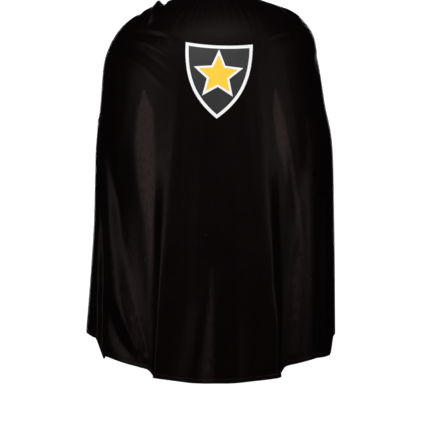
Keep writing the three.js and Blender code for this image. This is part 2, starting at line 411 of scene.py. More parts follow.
def new_group(name: str, inputs: dict[str, float], outputs: tuple[str, ...]) -> tuple:
    """Starts a node group that is laid on the flat cloth.

    Args:
        name: The group's name.
        inputs: Its number inputs besides the place on the cloth, with their usual values.
        outputs: Its outputs.

    Returns:
        The tree, its Nodes, its group input node and its group output node.
    """
    tree = bpy.data.node_groups.new(name, "ShaderNodeTree")
    tree.interface.new_socket("Lay", in_out="INPUT", socket_type="NodeSocketVector")
    for label, value in inputs.items():
        socket = tree.interface.new_socket(label, in_out="INPUT", socket_type="NodeSocketFloat")
        socket.default_value = value
    for label in outputs:
        tree.interface.new_socket(label, in_out="OUTPUT", socket_type="NodeSocketFloat")
    nodes = Nodes(tree)
    return tree, nodes, nodes.add("NodeGroupInput"), nodes.add("NodeGroupOutput")


class Effects:
    """The effects that several materials share, each a node group that is built once."""

    def __init__(self) -> None:
        """Builds every group."""
        self.knit = self._knit()
        self.mottle = self._mottle()
        self.lint = self._lint()
        self.weave = self._weave()
        self.pile = self._pile()

    @staticmethod
    def _knit() -> Tree:
        """Columns of small V-shaped stitches: the height of a warp knit."""
        tree, n, start, end = new_group(
            "knit",
            {"Pitch": 0.001},
            ("Height",),
        )
        split = n.add("ShaderNodeSeparateXYZ", {0: start.outputs["Lay"]})
        across = n.math("DIVIDE", split.outputs[0], start.outputs["Pitch"])
        down = n.math("DIVIDE", split.outputs[1], n.math("MULTIPLY", start.outputs["Pitch"], 1.25))
        wale = n.math("FRACT", across)
        arm = n.math("ABSOLUTE", n.math("SUBTRACT", wale, 0.5))
        rib = n.math("SINE", n.math("MULTIPLY", wale, math.pi))
        loop = n.math("SINE", n.math("MULTIPLY", n.math("ADD", down, arm), 2 * math.pi))
        height = n.math("MULTIPLY", rib, n.math("MULTIPLY_ADD", loop, 0.3, 0.7))
        tree.links.new(height, end.inputs["Height"])
        return tree

    @staticmethod
    def _weave() -> Tree:
        """An over-and-under ribbon weave: its height."""
        tree, n, start, end = new_group(
            "weave",
            {"Pitch": 0.0005},
            ("Height",),
        )
        split = n.add("ShaderNodeSeparateXYZ", {0: start.outputs["Lay"]})
        across = n.math("DIVIDE", split.outputs[0], start.outputs["Pitch"])
        down = n.math("DIVIDE", split.outputs[1], start.outputs["Pitch"])
        warp = n.math("SINE", n.math("MULTIPLY", across, math.pi))
        weft = n.math("SINE", n.math("MULTIPLY", down, math.pi))
        tree.links.new(n.math("MULTIPLY", warp, weft), end.inputs["Height"])
        return tree

    @staticmethod
    def _mottle() -> Tree:
        """Slow and fine unevenness, as dye and wear leave it."""
        tree, n, start, end = new_group(
            "mottle",
            {"Slow": 9.0, "Fine": 220.0},
            ("Slow", "Fine"),
        )
        for label, detail, stretch in (("Slow", 3.0, 0.8), ("Fine", 2.0, 0.35)):
            stretched = {0: start.outputs["Lay"], 1: (1, stretch, 1)}
            place = n.add("ShaderNodeVectorMath", stretched, operation="MULTIPLY").outputs[0]
            look = {"Vector": place, "Scale": start.outputs[label], "Detail": detail}
            tree.links.new(n.add("ShaderNodeTexNoise", look).outputs["Fac"], end.inputs[label])
        return tree

    @staticmethod
    def _lint() -> Tree:
        """Scattered specks of lint."""
        tree, n, start, end = new_group(
            "lint",
            {"Scale": 60.0},
            ("Mask",),
        )
        spread = {"Vector": start.outputs["Lay"], "Scale": start.outputs["Scale"]}
        cells = n.add("ShaderNodeTexVoronoi", spread)
        chance = {"Vector": cells.outputs["Position"]}
        rare = n.add("ShaderNodeTexWhiteNoise", chance, noise_dimensions="3D").outputs[0]
        speck = n.math("LESS_THAN", cells.outputs["Distance"], 0.035)
        mask = n.math("MULTIPLY", speck, n.math("GREATER_THAN", rare, 0.8))
        tree.links.new(mask, end.inputs["Mask"])
        return tree

    @staticmethod
    def _pile() -> Tree:
        """A fuzz of small loops."""
        tree, n, start, end = new_group(
            "pile",
            {"Scale": 900.0},
            ("Height",),
        )
        place = start.outputs["Lay"]
        cells = n.add("ShaderNodeTexVoronoi", {"Vector": place, "Scale": start.outputs["Scale"]})
        noise = n.add("ShaderNodeTexNoise", {"Vector": place, "Scale": 2400.0, "Detail": 2.0})
        height = n.math("SUBTRACT", noise.outputs["Fac"], cells.outputs["Distance"])
        tree.links.new(height, end.inputs["Height"])
        return tree


Colour = tuple[float, float, float]


def opaque(colour: Colour) -> tuple[float, float, float, float]:
    """The colour with full alpha."""
    return (*colour, 1.0)


def new_material(name: str) -> tuple[Material, Nodes, Node, Socket]:
    """Starts a material.

    Args:
        name: The material's name.

    Returns:
        The material, its Nodes, its main shader, and the socket of each point's place on the flat cloth.
    """
    material = bpy.data.materials.new(name)
    material.use_nodes = True
    nodes = Nodes(material.node_tree)
    shader = material.node_tree.nodes["Principled BSDF"]
    return material, nodes, shader, nodes.attribute("lay", "Vector")


@dataclass(frozen=True)
class KnitFinish:
    """Warp-knit satin: a smooth face with a soft sheen, or its matt back, with lighter patches of painted
    highlight in its colour.
    """

    name: str
    colour: Colour = (0.0018, 0.0008, 0.0010)
    worn: Colour = (0.0045, 0.0028, 0.0029)
    rough: float = 0.38
    grain: float = 0.16
    pitch: float = 0.0011
    sheen: float = 0.005
    bump: float = 0.00006
    gloss: float = 0.041
    slub: float = 5.0
    # the painted highlight's colour, laid where the panels mark the side lights' reflections
    stroked: Colour = (0.0190, 0.0122, 0.0113)
    lint: Colour = (0.16, 0.15, 0.14)
    tint: Colour = (1.0, 0.84, 0.82)

    def build(self, effects: Effects) -> Material:
        """Builds the material."""
        material, n, shader, lay = new_material(self.name)
        knit = n.group(effects.knit, {"Lay": lay, "Pitch": self.pitch})
        mottle = n.group(effects.mottle, {"Lay": lay, "Slow": 7.0, "Fine": 170.0})
        lint = n.group(effects.lint, {"Lay": lay, "Scale": 38.0})
        slow, fine = mottle.outputs["Slow"], mottle.outputs["Fine"]
        dye = n.math("MULTIPLY_ADD", slow, 0.5, n.math("MULTIPLY", fine, 0.35))
        rub = n.math("MULTIPLY", n.attribute("edge"), n.math("MULTIPLY", fine, 0.8))
        share = n.math("MULTIPLY_ADD", n.math("SUBTRACT", dye, 0.3), 0.6, rub)
        share = n.math("MAXIMUM", n.math("MINIMUM", share, 1.0), 0.0)
        shade = n.mix(share, opaque(self.colour), opaque(self.worn))
        # painted highlight: where the panels mark it, broken up by the fine grain, the colour turns to the
        # lighter highlight colour
        uneven = n.math("MAXIMUM", n.math("MULTIPLY_ADD", fine, 2.4, -0.35), 0.0)
        highlight_share = n.math("MINIMUM", n.math("MULTIPLY", n.attribute("nap"), uneven), 1.0)
        shade = n.mix(highlight_share, shade, opaque(self.stroked))
        base = n.mix(n.math("MULTIPLY", lint.outputs["Mask"], 0.5), shade, opaque(self.lint))
        grain = n.math("MULTIPLY_ADD", fine, self.grain, self.rough - self.grain / 2 - 0.05)
        rough = n.math("MULTIPLY_ADD", slow, self.grain * 0.7, grain)
        height = n.math("MULTIPLY_ADD", fine, self.slub, knit.outputs["Height"])
        n.finish(base, rough, height, 0.6, self.bump)
        shader.inputs["Sheen Weight"].default_value = self.sheen
        shader.inputs["Sheen Roughness"].default_value = 0.45
        shader.inputs["Specular IOR Level"].default_value = self.gloss
        shader.inputs["Specular Tint"].default_value = opaque(self.tint)
        return material


@dataclass(frozen=True)
class FilmFinish:
    """Heat-pressed film: flat colour that the knit shows through, a little rubbed."""

    name: str
    colour: Colour
    rubbed: Colour
    rough: float = 0.42
    gloss: float = 0.35

    def build(self, effects: Effects) -> Material:
        """Builds the material."""
        material, n, shader, lay = new_material(self.name)
        knit = n.group(effects.knit, {"Lay": lay, "Pitch": KnitFinish.pitch})
        mottle = n.group(effects.mottle, {"Lay": lay, "Slow": 14.0, "Fine": 420.0})
        slow, fine = mottle.outputs["Slow"], mottle.outputs["Fine"]
        cells = {"Vector": lay, "Scale": 130.0}
        crackle = n.add("ShaderNodeTexVoronoi", cells, feature="DISTANCE_TO_EDGE")
        line = n.math("LESS_THAN", crackle.outputs["Distance"], 0.012)
        patchy = n.math("GREATER_THAN", slow, 0.6)
        worn = n.math("MULTIPLY", line, n.math("MULTIPLY", patchy, 0.35))
        uneven = n.math("MULTIPLY_ADD", n.math("SUBTRACT", slow, 0.45), 0.5, worn)
        base = n.mix(n.math("MAXIMUM", uneven, 0.0), opaque(self.colour), opaque(self.rubbed))
        rough = n.math("MULTIPLY_ADD", fine, 0.18, self.rough - 0.09)
        height = n.math("MULTIPLY_ADD", fine, 0.4, knit.outputs["Height"])
        n.finish(base, rough, height, 0.35, 0.0001)
        shader.inputs["Specular IOR Level"].default_value = self.gloss
        return material


@dataclass(frozen=True)
class TapeFinish:
    """Hook-and-loop tape: a woven ground with a fuzz of loops or hooks."""

    name: str
    colour: Colour = (0.0055, 0.0055, 0.006)
    tips: Colour = (0.03, 0.03, 0.032)
    pile: float = 900.0
    bump: float = 0.0006

    def build(self, effects: Effects) -> Material:
        """Builds the material."""
        material, n, _, lay = new_material(self.name)
        pile = n.group(effects.pile, {"Lay": lay, "Scale": self.pile})
        weave = n.group(effects.weave, {"Lay": lay, "Pitch": 0.0006})
        share = n.math("MAXIMUM", n.math("MULTIPLY_ADD", pile.outputs["Height"], 1.4, 0.1), 0.0)
        base = n.mix(n.math("MINIMUM", share, 1.0), opaque(self.colour), opaque(self.tips))
        height = n.math("MULTIPLY_ADD", weave.outputs["Height"], 0.3, pile.outputs["Height"])
        rough = n.math("MULTIPLY_ADD", pile.outputs["Height"], 0.15, 0.72)
        n.finish(base, rough, height, 0.8, self.bump)
        return material


@dataclass(frozen=True)
class RibbonFinish:
    """Woven ribbon or fibre tape: labels, interfacing and thread."""

    name: str
    colour: Colour
    shade: Colour
    pitch: float = 0.00045
    rough: float = 0.5
    sheen: float = 0.2

    def build(self, effects: Effects) -> Material:
        """Builds the material."""
        material, n, shader, lay = new_material(self.name)
        weave = n.group(effects.weave, {"Lay": lay, "Pitch": self.pitch})
        mottle = n.group(effects.mottle, {"Lay": lay, "Slow": 30.0, "Fine": 900.0})
        height = weave.outputs["Height"]
        uneven = n.math("SUBTRACT", mottle.outputs["Slow"], 0.25)
        share = n.math("MAXIMUM", n.math("MULTIPLY_ADD", height, 0.12, uneven), 0.0)
        base = n.mix(share, opaque(self.colour), opaque(self.shade))
        rough = n.math("MULTIPLY_ADD", mottle.outputs["Fine"], 0.2, self.rough - 0.1)
        n.finish(base, rough, height, 0.5, 0.0001)
        shader.inputs["Sheen Weight"].default_value = self.sheen
        return material


@dataclass(frozen=True)
class FloorFinish:
    """A pale matt floor that glows to the eye and throws little light back on the cape."""

    name: str = "pale_floor"
    colour: Colour = (0.93, 0.93, 0.93)
    shade: Colour = (0.04, 0.038, 0.038)
    glow: float = 1.0

    def build(self) -> Material:
        """Builds the material."""
        material = bpy.data.materials.new(self.name)
        material.use_nodes = True
        nodes = Nodes(material.node_tree)
        shader = material.node_tree.nodes["Principled BSDF"]
        noise = nodes.add("ShaderNodeTexNoise", {"Scale": 3.0, "Detail": 4.0})
        rough = nodes.math("MULTIPLY_ADD", noise.outputs["Fac"], 0.1, 0.8)
        nodes.tree.links.new(rough, shader.inputs["Roughness"])
        shader.inputs["Base Color"].default_value = opaque(self.colour)
        shader.inputs["Emission Color"].default_value = opaque(self.colour)
        shader.inputs["Emission Strength"].default_value = self.glow
        shade = nodes.add("ShaderNodeBsdfDiffuse", {"Color": opaque(self.shade)})
        end = material.node_tree.nodes["Material Output"]
        nodes.tree.links.new(nodes.choose(shade, shader), end.inputs["Surface"])
        return material


class Palette:
    """Every finish, built once."""

    def __init__(self) -> None:
        """Builds the shared effects and then the materials."""
        effects = Effects()
        self.face = KnitFinish("satin_face").build(effects)
        self.reverse = KnitFinish(
            "satin_reverse",
            colour=(0.010, 0.0085, 0.009),
            worn=(0.02, 0.0175, 0.0178),
            # a faint painted highlight on the reverse, in the same patches as on the face
            stroked=(0.012, 0.0100, 0.0104),
            rough=0.75,
            grain=0.2,
            sheen=0.12,
            bump=0.0002,
            gloss=0.12,
        ).build(effects)
        self.band = KnitFinish("band_cloth", rough=0.42, sheen=0.03, bump=0.0001, gloss=0.1).build(effects)
        black, lit = (0.0045, 0.0038, 0.0041), (0.016, 0.0145, 0.0145)
        self.thread = RibbonFinish("black_thread", black, lit, 0.0004, 0.5, 0.2).build(effects)
        self.white = FilmFinish("white_film", (0.9, 0.9, 0.9), (0.7, 0.7, 0.7)).build(effects)
        dark, grey = (0.0125, 0.0125, 0.0133), (0.023, 0.023, 0.0245)
        self.charcoal = FilmFinish("charcoal_film", dark, grey).build(effects)
        self.yellow = FilmFinish("yellow_film", (0.98, 0.62, 0.03), (0.9, 0.5, 0.02)).build(effects)
        self.hooks = TapeFinish("hook_tape", pile=620.0, bump=0.0004).build(effects)
        soft = (0.045, 0.045, 0.048)
        self.loops = TapeFinish("loop_tape", tips=soft, pile=1500.0, bump=0.0008).build(effects)
        self.ribbon = RibbonFinish("label_ribbon", (0.82, 0.81, 0.78), (0.66, 0.65, 0.62)).build(effects)
        self.interfacing = RibbonFinish(
            "interfacing", (0.72, 0.71, 0.67), (0.55, 0.54, 0.5), 0.0012, 0.85, 0.0
        ).build(effects)


# ------------------------------------------------------------------ the draped cloth


@dataclass(frozen=True)
class Ring:
    """One level of the drape, from the neck seam to the hem, in metres.

    half holds its half-axes (width, back, front), level the heights of its back, sides and front,
    lean its shift to the right and its drop on that side, and reach the front edge's angle.
    """

    half: tuple[float, float, float]
    level: tuple[float, float, float]
    lean: tuple[float, float]
    reach: float


@dataclass(frozen=True)
class Fold:
    """A crease that runs along a path in the plan of the back.

    path holds points (across, up) in metres, and rise how far the cloth stands out at each. inner and
    outer say how wide the crease is towards the middle of the back and away from it.
    """

    path: tuple[tuple[float, float], ...]
    rise: tuple[float, ...]
    inner: tuple[float, ...] | float
    outer: tuple[float, ...] | float

    def lift(self, across: Array, up: Array) -> Array:
        """How far the crease moves each point of the cloth out.

        Args:
            across: The points' places across.
            up: The points' heights.

        Returns:
            The move of each point, in metres.
        """
        points = np.stack([across, up], -1)
        path = np.array(self.path)
        away = np.full(across.shape, np.inf)
        along = np.zeros(across.shape)
        middle = np.ones(across.shape, bool)
        for k, (a, b) in enumerate(zip(path[:-1], path[1:])):
            d = b - a
            share = np.clip(((points - a) @ d) / (d @ d), 0, 1)
            near = a + share[..., None] * d
            gap = np.linalg.norm(points - near, axis=-1)
            closer = gap < away
            away = np.where(closer, gap, away)
            along = np.where(closer, k + share, along)
            side = d[0] * (points[..., 1] - near[..., 1]) - d[1] * (points[..., 0] - near[..., 0])
            inwards = side * math.copysign(1.0, -float(path[0][0]) or 1.0) * math.copysign(1.0, -d[1])
            middle = np.where(closer, inwards > 0, middle)
        steps = np.arange(len(path))
        inner, outer = (np.broadcast_to(side, len(path)) for side in (self.inner, self.outer))
        wide = np.where(middle, np.interp(along, steps, inner), np.interp(along, steps, outer))
        return np.interp(along, steps, self.rise) * np.exp(-((away / wide) ** 2))


@dataclass
class Sheet:
    """A grid of points on the cloth's outer face, with rows down and columns round the wearer."""

    points: Array
    lay: Array = field(init=False)
    normals: Array = field(init=False)

    def __post_init__(self) -> None:
        """Works out the normals, and each point's place on the flat cloth."""
        down = np.gradient(self.points, axis=0)
        round_ = np.gradient(self.points, axis=1)
        self.normals = unit(np.cross(down, round_))
        steps_down = np.linalg.norm(np.diff(self.points, axis=0), axis=-1)
        steps_round = np.linalg.norm(np.diff(self.points, axis=1), axis=-1)
        fall = np.pad(np.cumsum(steps_down, axis=0), ((1, 0), (0, 0)))
        turn = np.pad(np.cumsum(steps_round, axis=1), ((0, 0), (1, 0)))
        middle = self.points.shape[1] // 2
        fall = np.repeat(fall.mean(axis=1, keepdims=True), self.points.shape[1], axis=1)
        self.lay = np.stack([turn - turn[:, middle : middle + 1], fall], -1)

    def finer(self, times: int) -> Sheet:
        """The same sheet with more rows and columns, curved smoothly between the old ones."""
        points = self.points
        for _ in range(2):
            last = len(points) - 1
            points = np.swapaxes(spline(points, np.linspace(0, last, last * times + 1)), 0, 1)
        return Sheet(points)

    def at(self, row: Array, column: Array) -> tuple[Array, Array, Array]:
        """Reads the sheet between its rows and columns.

        Args:
            row: Fractional rows.
            column: Fractional columns.

        Returns:
            The points, their normals and their places on the flat cloth.
        """
        rows, columns = self.points.shape[:2]
        row, column = np.broadcast_arrays(np.asarray(row, float), np.asarray(column, float))
        i = np.clip(np.floor(row).astype(int), 0, rows - 2)
        j = np.clip(np.floor(column).astype(int), 0, columns - 2)
        u, v = (row - i)[..., None], (column - j)[..., None]

        def read(grid: Array) -> Array:
            """Reads one of the sheet's grids."""
            top = grid[i, j] * (1 - v) + grid[i, j + 1] * v
            low = grid[i + 1, j] * (1 - v) + grid[i + 1, j + 1] * v
            return top * (1 - u) + low * u

        return read(self.points), unit(read(self.normals)), read(self.lay)


@dataclass(frozen=True)
class Settling:
    """A short cloth simulation that lets the cloth sag under its own weight.

    hold and cap are tables of ring numbers and values: how firmly the cloth is held there, and how
    far it may move, in metres.
    """

    frames: int = 28
    quality: int = 5
    mass: float = 0.12
    stretch: float = 14.0
    shear: float = 5.0
    bending: float = 0.25
    pin: float = 0.7
    shrink: float = -0.006
    hold: tuple[tuple[float, ...], ...] = ((0, 0.15, 1, 2.5, 3.6, 8), (1, 1, 0.55, 0.35, 0.16, 0.1))
    cap: tuple[tuple[float, ...], ...] = ((0, 0.3, 2, 4, 8), (1e-5, 0.0006, 0.002, 0.00096, 0.0032))

    def _hang(self, points: Array, ring: Array) -> Piece:
        """The cloth as a mesh that the simulation can move, held more firmly near the neck."""
        rows, columns = points.shape[:2]
        index = np.arange(rows * columns).reshape(rows, columns)
        quads = np.stack([index[:-1, :-1], index[1:, :-1], index[1:, 1:], index[:-1, 1:]], -1)
        mesh = bpy.data.meshes.new("settling")
        mesh.from_pydata(points.reshape(-1, 3).tolist(), [], quads.reshape(-1, 4).tolist())
        cloth = bpy.data.objects.new("settling", mesh)
        bpy.context.scene.collection.objects.link(cloth)
        hold = cloth.vertex_groups.new(name="hold")
        for row, weight in enumerate(np.interp(ring, *self.hold)):
            hold.add([int(i) for i in index[row]], float(weight), "REPLACE")
        return cloth

    def _run(self, cloth: Piece) -> Array:
        """Runs the simulation, and reads where the cloth's points come to."""
        modifier = cloth.modifiers.new("settling", "CLOTH")
        made = modifier.settings
        made.quality = self.quality
        made.mass = self.mass
        made.tension_stiffness = made.compression_stiffness = self.stretch
        made.shear_stiffness = self.shear
        made.bending_stiffness = self.bending
        made.vertex_group_mass = "hold"
        made.pin_stiffness = self.pin
        made.shrink_min = self.shrink
        modifier.collision_settings.use_collision = False
        modifier.point_cache.frame_start = 1
        modifier.point_cache.frame_end = self.frames
        scene = bpy.context.scene
        for frame_number in range(1, self.frames + 1):
            scene.frame_set(frame_number)
        settled = cloth.evaluated_get(bpy.context.evaluated_depsgraph_get()).data
        read = np.zeros(len(settled.vertices) * 3, np.float32)
        settled.vertices.foreach_get("co", read)
        scene.frame_set(1)
        return read.astype(float)

    def apply(self, points: Array, ring: Array) -> Array:
        """Settles a grid of the cloth's points.

        Args:
            points: The surface before it settles.
            ring: Each row's ring number.

        Returns:
            The settled surface. No point moves further than the cap.
        """
        cloth = self._hang(points, ring)
        move = self._run(cloth).reshape(points.shape) - points
        mesh = cloth.data
        bpy.data.objects.remove(cloth)
        bpy.data.meshes.remove(mesh)
        far = np.linalg.norm(move, axis=-1, keepdims=True)
        cap = np.interp(ring, *self.cap)[:, None, None]
        LOG.info("settling moved the cloth %.1f mm at most, before the cap", far.max() * 1000)
        return points + move * cap / np.maximum(np.sqrt(far**2 + cap**2), 1e-9)


@dataclass(frozen=True)
class Step:
    """An even step across the back: where it starts, its width, to the left if below 0, and its rise."""

    start: float
    width: float
    rise: float

    def at(self, across: Array) -> Array:
        """The height of the step at places across."""
        return self.rise * smooth((across - self.start) / self.width)


@dataclass(frozen=True)
class Ramp:
    """An even step down the cloth, from 0 at one ring number to 1 at another."""

    start: float
    end: float

    def at(self, ring: Array) -> Array:
        """How far up the step each ring number is."""
        return smooth((ring - self.start) / (self.end - self.start))


@dataclass
class Drape:
    """The whole cloth of the cape, as it hangs.

    The middle of the back is a flat plateau that stands out over the legs. Beside it and at the sides
    the hem hangs higher, by hem_steps. The folds lie on the back only, and fade out past back_end.
    """

    rings: tuple[Ring, ...] = (
        Ring((0.066, 0.068, 0.068), (0, 0, 0), (0, 0), 132),
        Ring((0.122, 0.087, 0.084), (-0.030, -0.022, -0.034), (0.003, 0), 128),
        Ring((0.204, 0.117, 0.098), (-0.078, -0.052, -0.072), (0.009, 0.002), 122),
        Ring((0.267, 0.138, 0.104), (-0.135, -0.106, -0.124), (0.003, 0.004), 118),
        Ring((0.297, 0.150, 0.112), (-0.215, -0.188, -0.198), (-0.009, 0.004), 116),
        Ring((0.313, 0.161, 0.122), (-0.330, -0.308, -0.310), (-0.006, 0.004), 115),
        Ring((0.330, 0.171, 0.132), (-0.450, -0.430, -0.425), (-0.002, 0.004), 115),
        Ring((0.336, 0.188, 0.140), (-0.720, -0.696, -0.690), (-0.003, 0.006), 114),
        Ring((0.347, 0.206, 0.146), (-1.070, -1.002, -0.972), (-0.012, 0.005), 112),
    )
    pattern_width: float = 0.694
    pattern_drop: float = 1.0727
    rows: int = 108
    back_columns: int = 80
    front_columns: int = 8
    refine: int = 3
    folds: tuple[Fold, ...] = ()
    creases: tuple[Fold, ...] = ()
    settling: Settling = Settling()
    plateau: tuple[float, float] = (-0.168, 0.178)
    plateau_lift: float = 0.020
    plateau_edge: tuple[float, float] = (0.05, 0.012)
    plateau_rings: tuple[float, float] = (5.8, 8.0)
    flatten: float = 0.17
    hem_steps: tuple[Step, ...] = (
        Step(-0.168, -0.02, 0.014),
        Step(0.178, 0.02, 0.020),
        Step(-0.319, -0.008, 0.048),
        Step(0.318, 0.012, 0.048),
        Step(-0.298, -0.018, -0.012),
        Step(0.262, 0.05, -0.012),
    )
    back_end: float = 104.0
    back_fade: float = 18.0
    ripple: float = 0.0012
    flutter: float = 0.008
    gather: float = 0.0006
    low: Ramp = Ramp(5.5, 8.0)
    below_shoulders: Ramp = Ramp(2.5, 4.5)

    @property
    def seam(self) -> tuple[int, int]:
        """The fine grid's columns at the left and right side seams."""
        left = self.front_columns * self.refine
        return left, left + self.back_columns * self.refine

    def _place(self, ring: Array, angle: Array, fit: tuple[float, float]) -> Array:
        """The smooth surface at ring numbers and angles round the wearer."""
        table = np.array([(*r.half, *r.level, *r.lean) for r in self.rings])
        read = spline(table, ring)
        sin, cos = np.sin(np.radians(angle)), np.cos(np.radians(angle))
        depth = np.where(cos < 0, read[..., 2], read[..., 1])
        end = np.where(cos < 0, read[..., 5], read[..., 3])
        height = end + (read[..., 4] - end) * sin**2 - read[..., 7] * sin
        x = (read[..., 0] * sin + read[..., 6]) * fit[0]
        return np.stack([x, -depth * cos * fit[0], height * fit[1]], -1)

    def _ring_steps(self, fit: tuple[float, float]) -> Array:
        """Ring numbers of the rows, evenly spaced down the cloth."""
        dense = np.linspace(0, len(self.rings) - 1, 800)
        total = np.zeros(len(dense) - 1)
        for angle in (0.0, 50.0, -50.0, 90.0, -90.0):
            line = self._place(dense, np.full(dense.shape, angle), fit)
            total += np.linalg.norm(np.diff(line, axis=0), axis=1)
        along = np.concatenate([[0], np.cumsum(total)])
        return np.interp(np.linspace(0, along[-1], self.rows), along, dense)

    def pattern(self, fit: tuple[float, float]) -> tuple[Array, Array, Array]:
        """The draped surface before it settles.

        Args:
            fit: The CAD part's size over the pattern's, across and down.

        Returns:
            The points, and each row's ring number, and each point's angle round the wearer.
        """
        ring = self._ring_steps(fit)
        reach = spline(np.array([[r.reach] for r in self.rings], float), ring)[:, 0]
        share = np.linspace(0, 1, self.front_columns + 1)
        back = np.tile(np.linspace(-90, 90, self.back_columns + 1), (self.rows, 1))
        front = 90 + (reach[:, None] - 90) * share
        angle = np.concatenate([-front[:, :0:-1], back, front[:, 1:]], axis=1)
        rings = np.broadcast_to(ring[:, None], angle.shape)
        points = self._place(rings, angle, fit)
        out = Sheet(points).normals
        lifted = points + out * self._relief(points, rings, angle)[..., None]
        lifted[..., 2] += self._hem_rise(points, rings)
        return lifted, ring, angle

    def _hem_rise(self, points: Array, ring: Array) -> Array:
        """How much higher the cloth hangs beside the flat middle of the back."""
        return self.low.at(ring) * sum(step.at(points[..., 0]) for step in self.hem_steps)

    def _on_back(self, angle: Array) -> Array:
        """1 on the back of the cape, fading to 0 on the fronts."""
        return smooth((self.back_end - np.abs(angle)) / self.back_fade)

    def _plateau(self, across: Array, ring: Array) -> Array:
        """How far the flat middle of the back stands out."""
        top, low = self.plateau_rings
        step = np.clip((ring - top) / (low - top), 0, 1)
        width = self.plateau_edge[0] + (self.plateau_edge[1] - self.plateau_edge[0]) * step
        left, right = (across - self.plateau[0]) / width, (self.plateau[1] - across) / width
        half = self.rings[-1].half[0] - 0.007
        bow = self.flatten * (1 - np.sqrt(np.clip(1 - (across / half) ** 2, 0, 1)))
        return (self.plateau_lift + bow) * smooth(step) * smooth(left) * smooth(right)

    def _relief(self, points: Array, ring: Array, angle: Array) -> Array:
        """How far the folds, the flutter of the front edges and the ripples move each point out."""
        across, up = points[..., 0], points[..., 2]
        behind = self._on_back(angle)
        lift = np.zeros(across.shape)
        for fold in self.folds:
            lift += fold.lift(across, up) * behind
        lift += self._plateau(across, ring)
        side = np.sign(angle)
        wave = np.sin(up * 17 + side * 1.1) * 0.5 + np.sin(up * 41 + 2 * side) * 0.25
        edge = smooth((np.abs(angle) - 94) / 14) * self.below_shoulders.at(ring)
        lift += edge * self.flutter * (wave - 0.5)
        wave = np.sin(np.radians(angle) * 6 + 0.8 * np.sin(up * 5))
        return lift + self.ripple * wave * self.low.at(ring)

    def build(self) -> Sheet:
        """Makes the settled sheet, at full detail."""
        low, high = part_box("back_panel_drape")
        fit = ((high.x - low.x) / self.pattern_width, -low.z / self.pattern_drop)
        points, ring, angle = self.pattern(fit)
        points = self.settling.apply(points, ring)
        sheet = Sheet(points).finer(self.refine)
        return Sheet(sheet.points + sheet.normals * self._creases(sheet, ring, angle)[..., None])

    def _creases(self, sheet: Sheet, ring: Array, angle: Array) -> Array:
        """How far the narrow creases and the gathers at the neck move each point of the fine sheet."""
        rows, columns = sheet.points.shape[:2]
        row, column = np.arange(rows) / self.refine, np.arange(columns) / self.refine
        rings = np.interp(row, np.arange(len(ring)), ring)[:, None]
        across = np.stack([np.interp(column, np.arange(angle.shape[1]), line) for line in angle])
        angles = np.stack([np.interp(row, np.arange(len(across)), line) for line in across.T], -1)
        turn = np.radians(angles)
        place = sheet.points[..., 0], sheet.points[..., 2]
        lift = sum(crease.lift(*place) for crease in self.creases) * self._on_back(angles)
        near = np.exp(-(((rings - 0.4) / 0.35) ** 2)) * smooth(rings / 0.2)
        return lift + self.gather * near * np.cos(turn * 23 + 1.3 * np.sin(turn * 3))


DRAPE_FOLDS = (
    Fold(  # the left valley, from the elbow to the hem
        (
            (-0.314, -0.40), (-0.286, -0.512), (-0.260, -0.632),
            (-0.220, -0.82), (-0.194, -0.98), (-0.186, -1.08),
        ),
        (-0.003, -0.009, -0.011, -0.009, -0.007, -0.006),
        (0.06, 0.07, 0.07, 0.045, 0.026, 0.02),
        (0.016, 0.018, 0.02, 0.024, 0.032, 0.036),
    ),
    Fold(  # the swags beside it, which curve in towards the middle of the hem
        (
            (-0.312, -0.45), (-0.302, -0.60), (-0.290, -0.76),
            (-0.276, -0.85), (-0.244, -0.924), (-0.210, -0.994),
        ),
        (0.002, 0.004, 0.007, 0.010, 0.011, 0.009),
        (0.012, 0.020, 0.030, 0.038, 0.040, 0.030),
        (0.012, 0.013, 0.014, 0.015, 0.015, 0.014),
    ),
    Fold(
        (
            (-0.300, -0.44), (-0.282, -0.58), (-0.262, -0.72),
            (-0.240, -0.84), (-0.214, -0.93), (-0.192, -1.0),
        ),
        (-0.001, -0.003, -0.005, -0.006, -0.006, -0.004),
        (0.012, 0.014, 0.016, 0.016, 0.014, 0.012),
        (0.012, 0.014, 0.016, 0.016, 0.014, 0.012),
    ),
    Fold(
        (
            (-0.318, -0.50), (-0.314, -0.66), (-0.306, -0.80),
            (-0.292, -0.90), (-0.262, -0.975), (-0.222, -1.03),
        ),
        (-0.002, -0.005, -0.007, -0.008, -0.008, -0.005),
        (0.010, 0.011, 0.013, 0.014, 0.015, 0.014),
        (0.012, 0.013, 0.015, 0.018, 0.020, 0.020),
    ),
    Fold(  # the line between the back and the strip that curls round the left side
        ((-0.322, -0.56), (-0.318, -0.76), (-0.316, -1.02)),
        (-0.005, -0.010, -0.013),
        (0.009, 0.010, 0.011),
        (0.007, 0.007, 0.008),
    ),
    Fold(  # the right valley
        (
            (0.252, -0.40), (0.240, -0.52), (0.226, -0.65),
            (0.207, -0.80), (0.192, -0.94), (0.188, -1.08),
        ),
        (-0.002, -0.005, -0.007, -0.007, -0.006, -0.006),
        (0.04, 0.05, 0.045, 0.032, 0.022, 0.018),
        (0.018, 0.020, 0.022, 0.024, 0.026, 0.028),
    ),
    Fold(  # the ridge at the right, and the hollow beyond it
        ((0.276, -0.54), (0.270, -0.70), (0.266, -0.85), (0.262, -1.03)),
        (0.003, 0.011, 0.015, 0.014),
        (0.03, 0.04, 0.045, 0.045),
        (0.012, 0.012, 0.013, 0.014),
    ),
    Fold(
        ((0.297, -0.58), (0.293, -0.76), (0.290, -1.01)),
        (-0.007, -0.012, -0.010),
        (0.012, 0.012, 0.014),
        (0.016, 0.018, 0.018),
    ),
    Fold(  # the soft fold low in the middle
        ((0.0, -0.78), (-0.028, -0.89), (-0.070, -1.09)),
        (0.001, 0.006, 0.009),
        (0.02, 0.022, 0.026),
        (0.03, 0.034, 0.04),
    ),
    Fold(((0.10, -0.86), (0.094, -0.96), (0.086, -1.09)), (0.0, -0.004, -0.007), 0.03, 0.026),
)

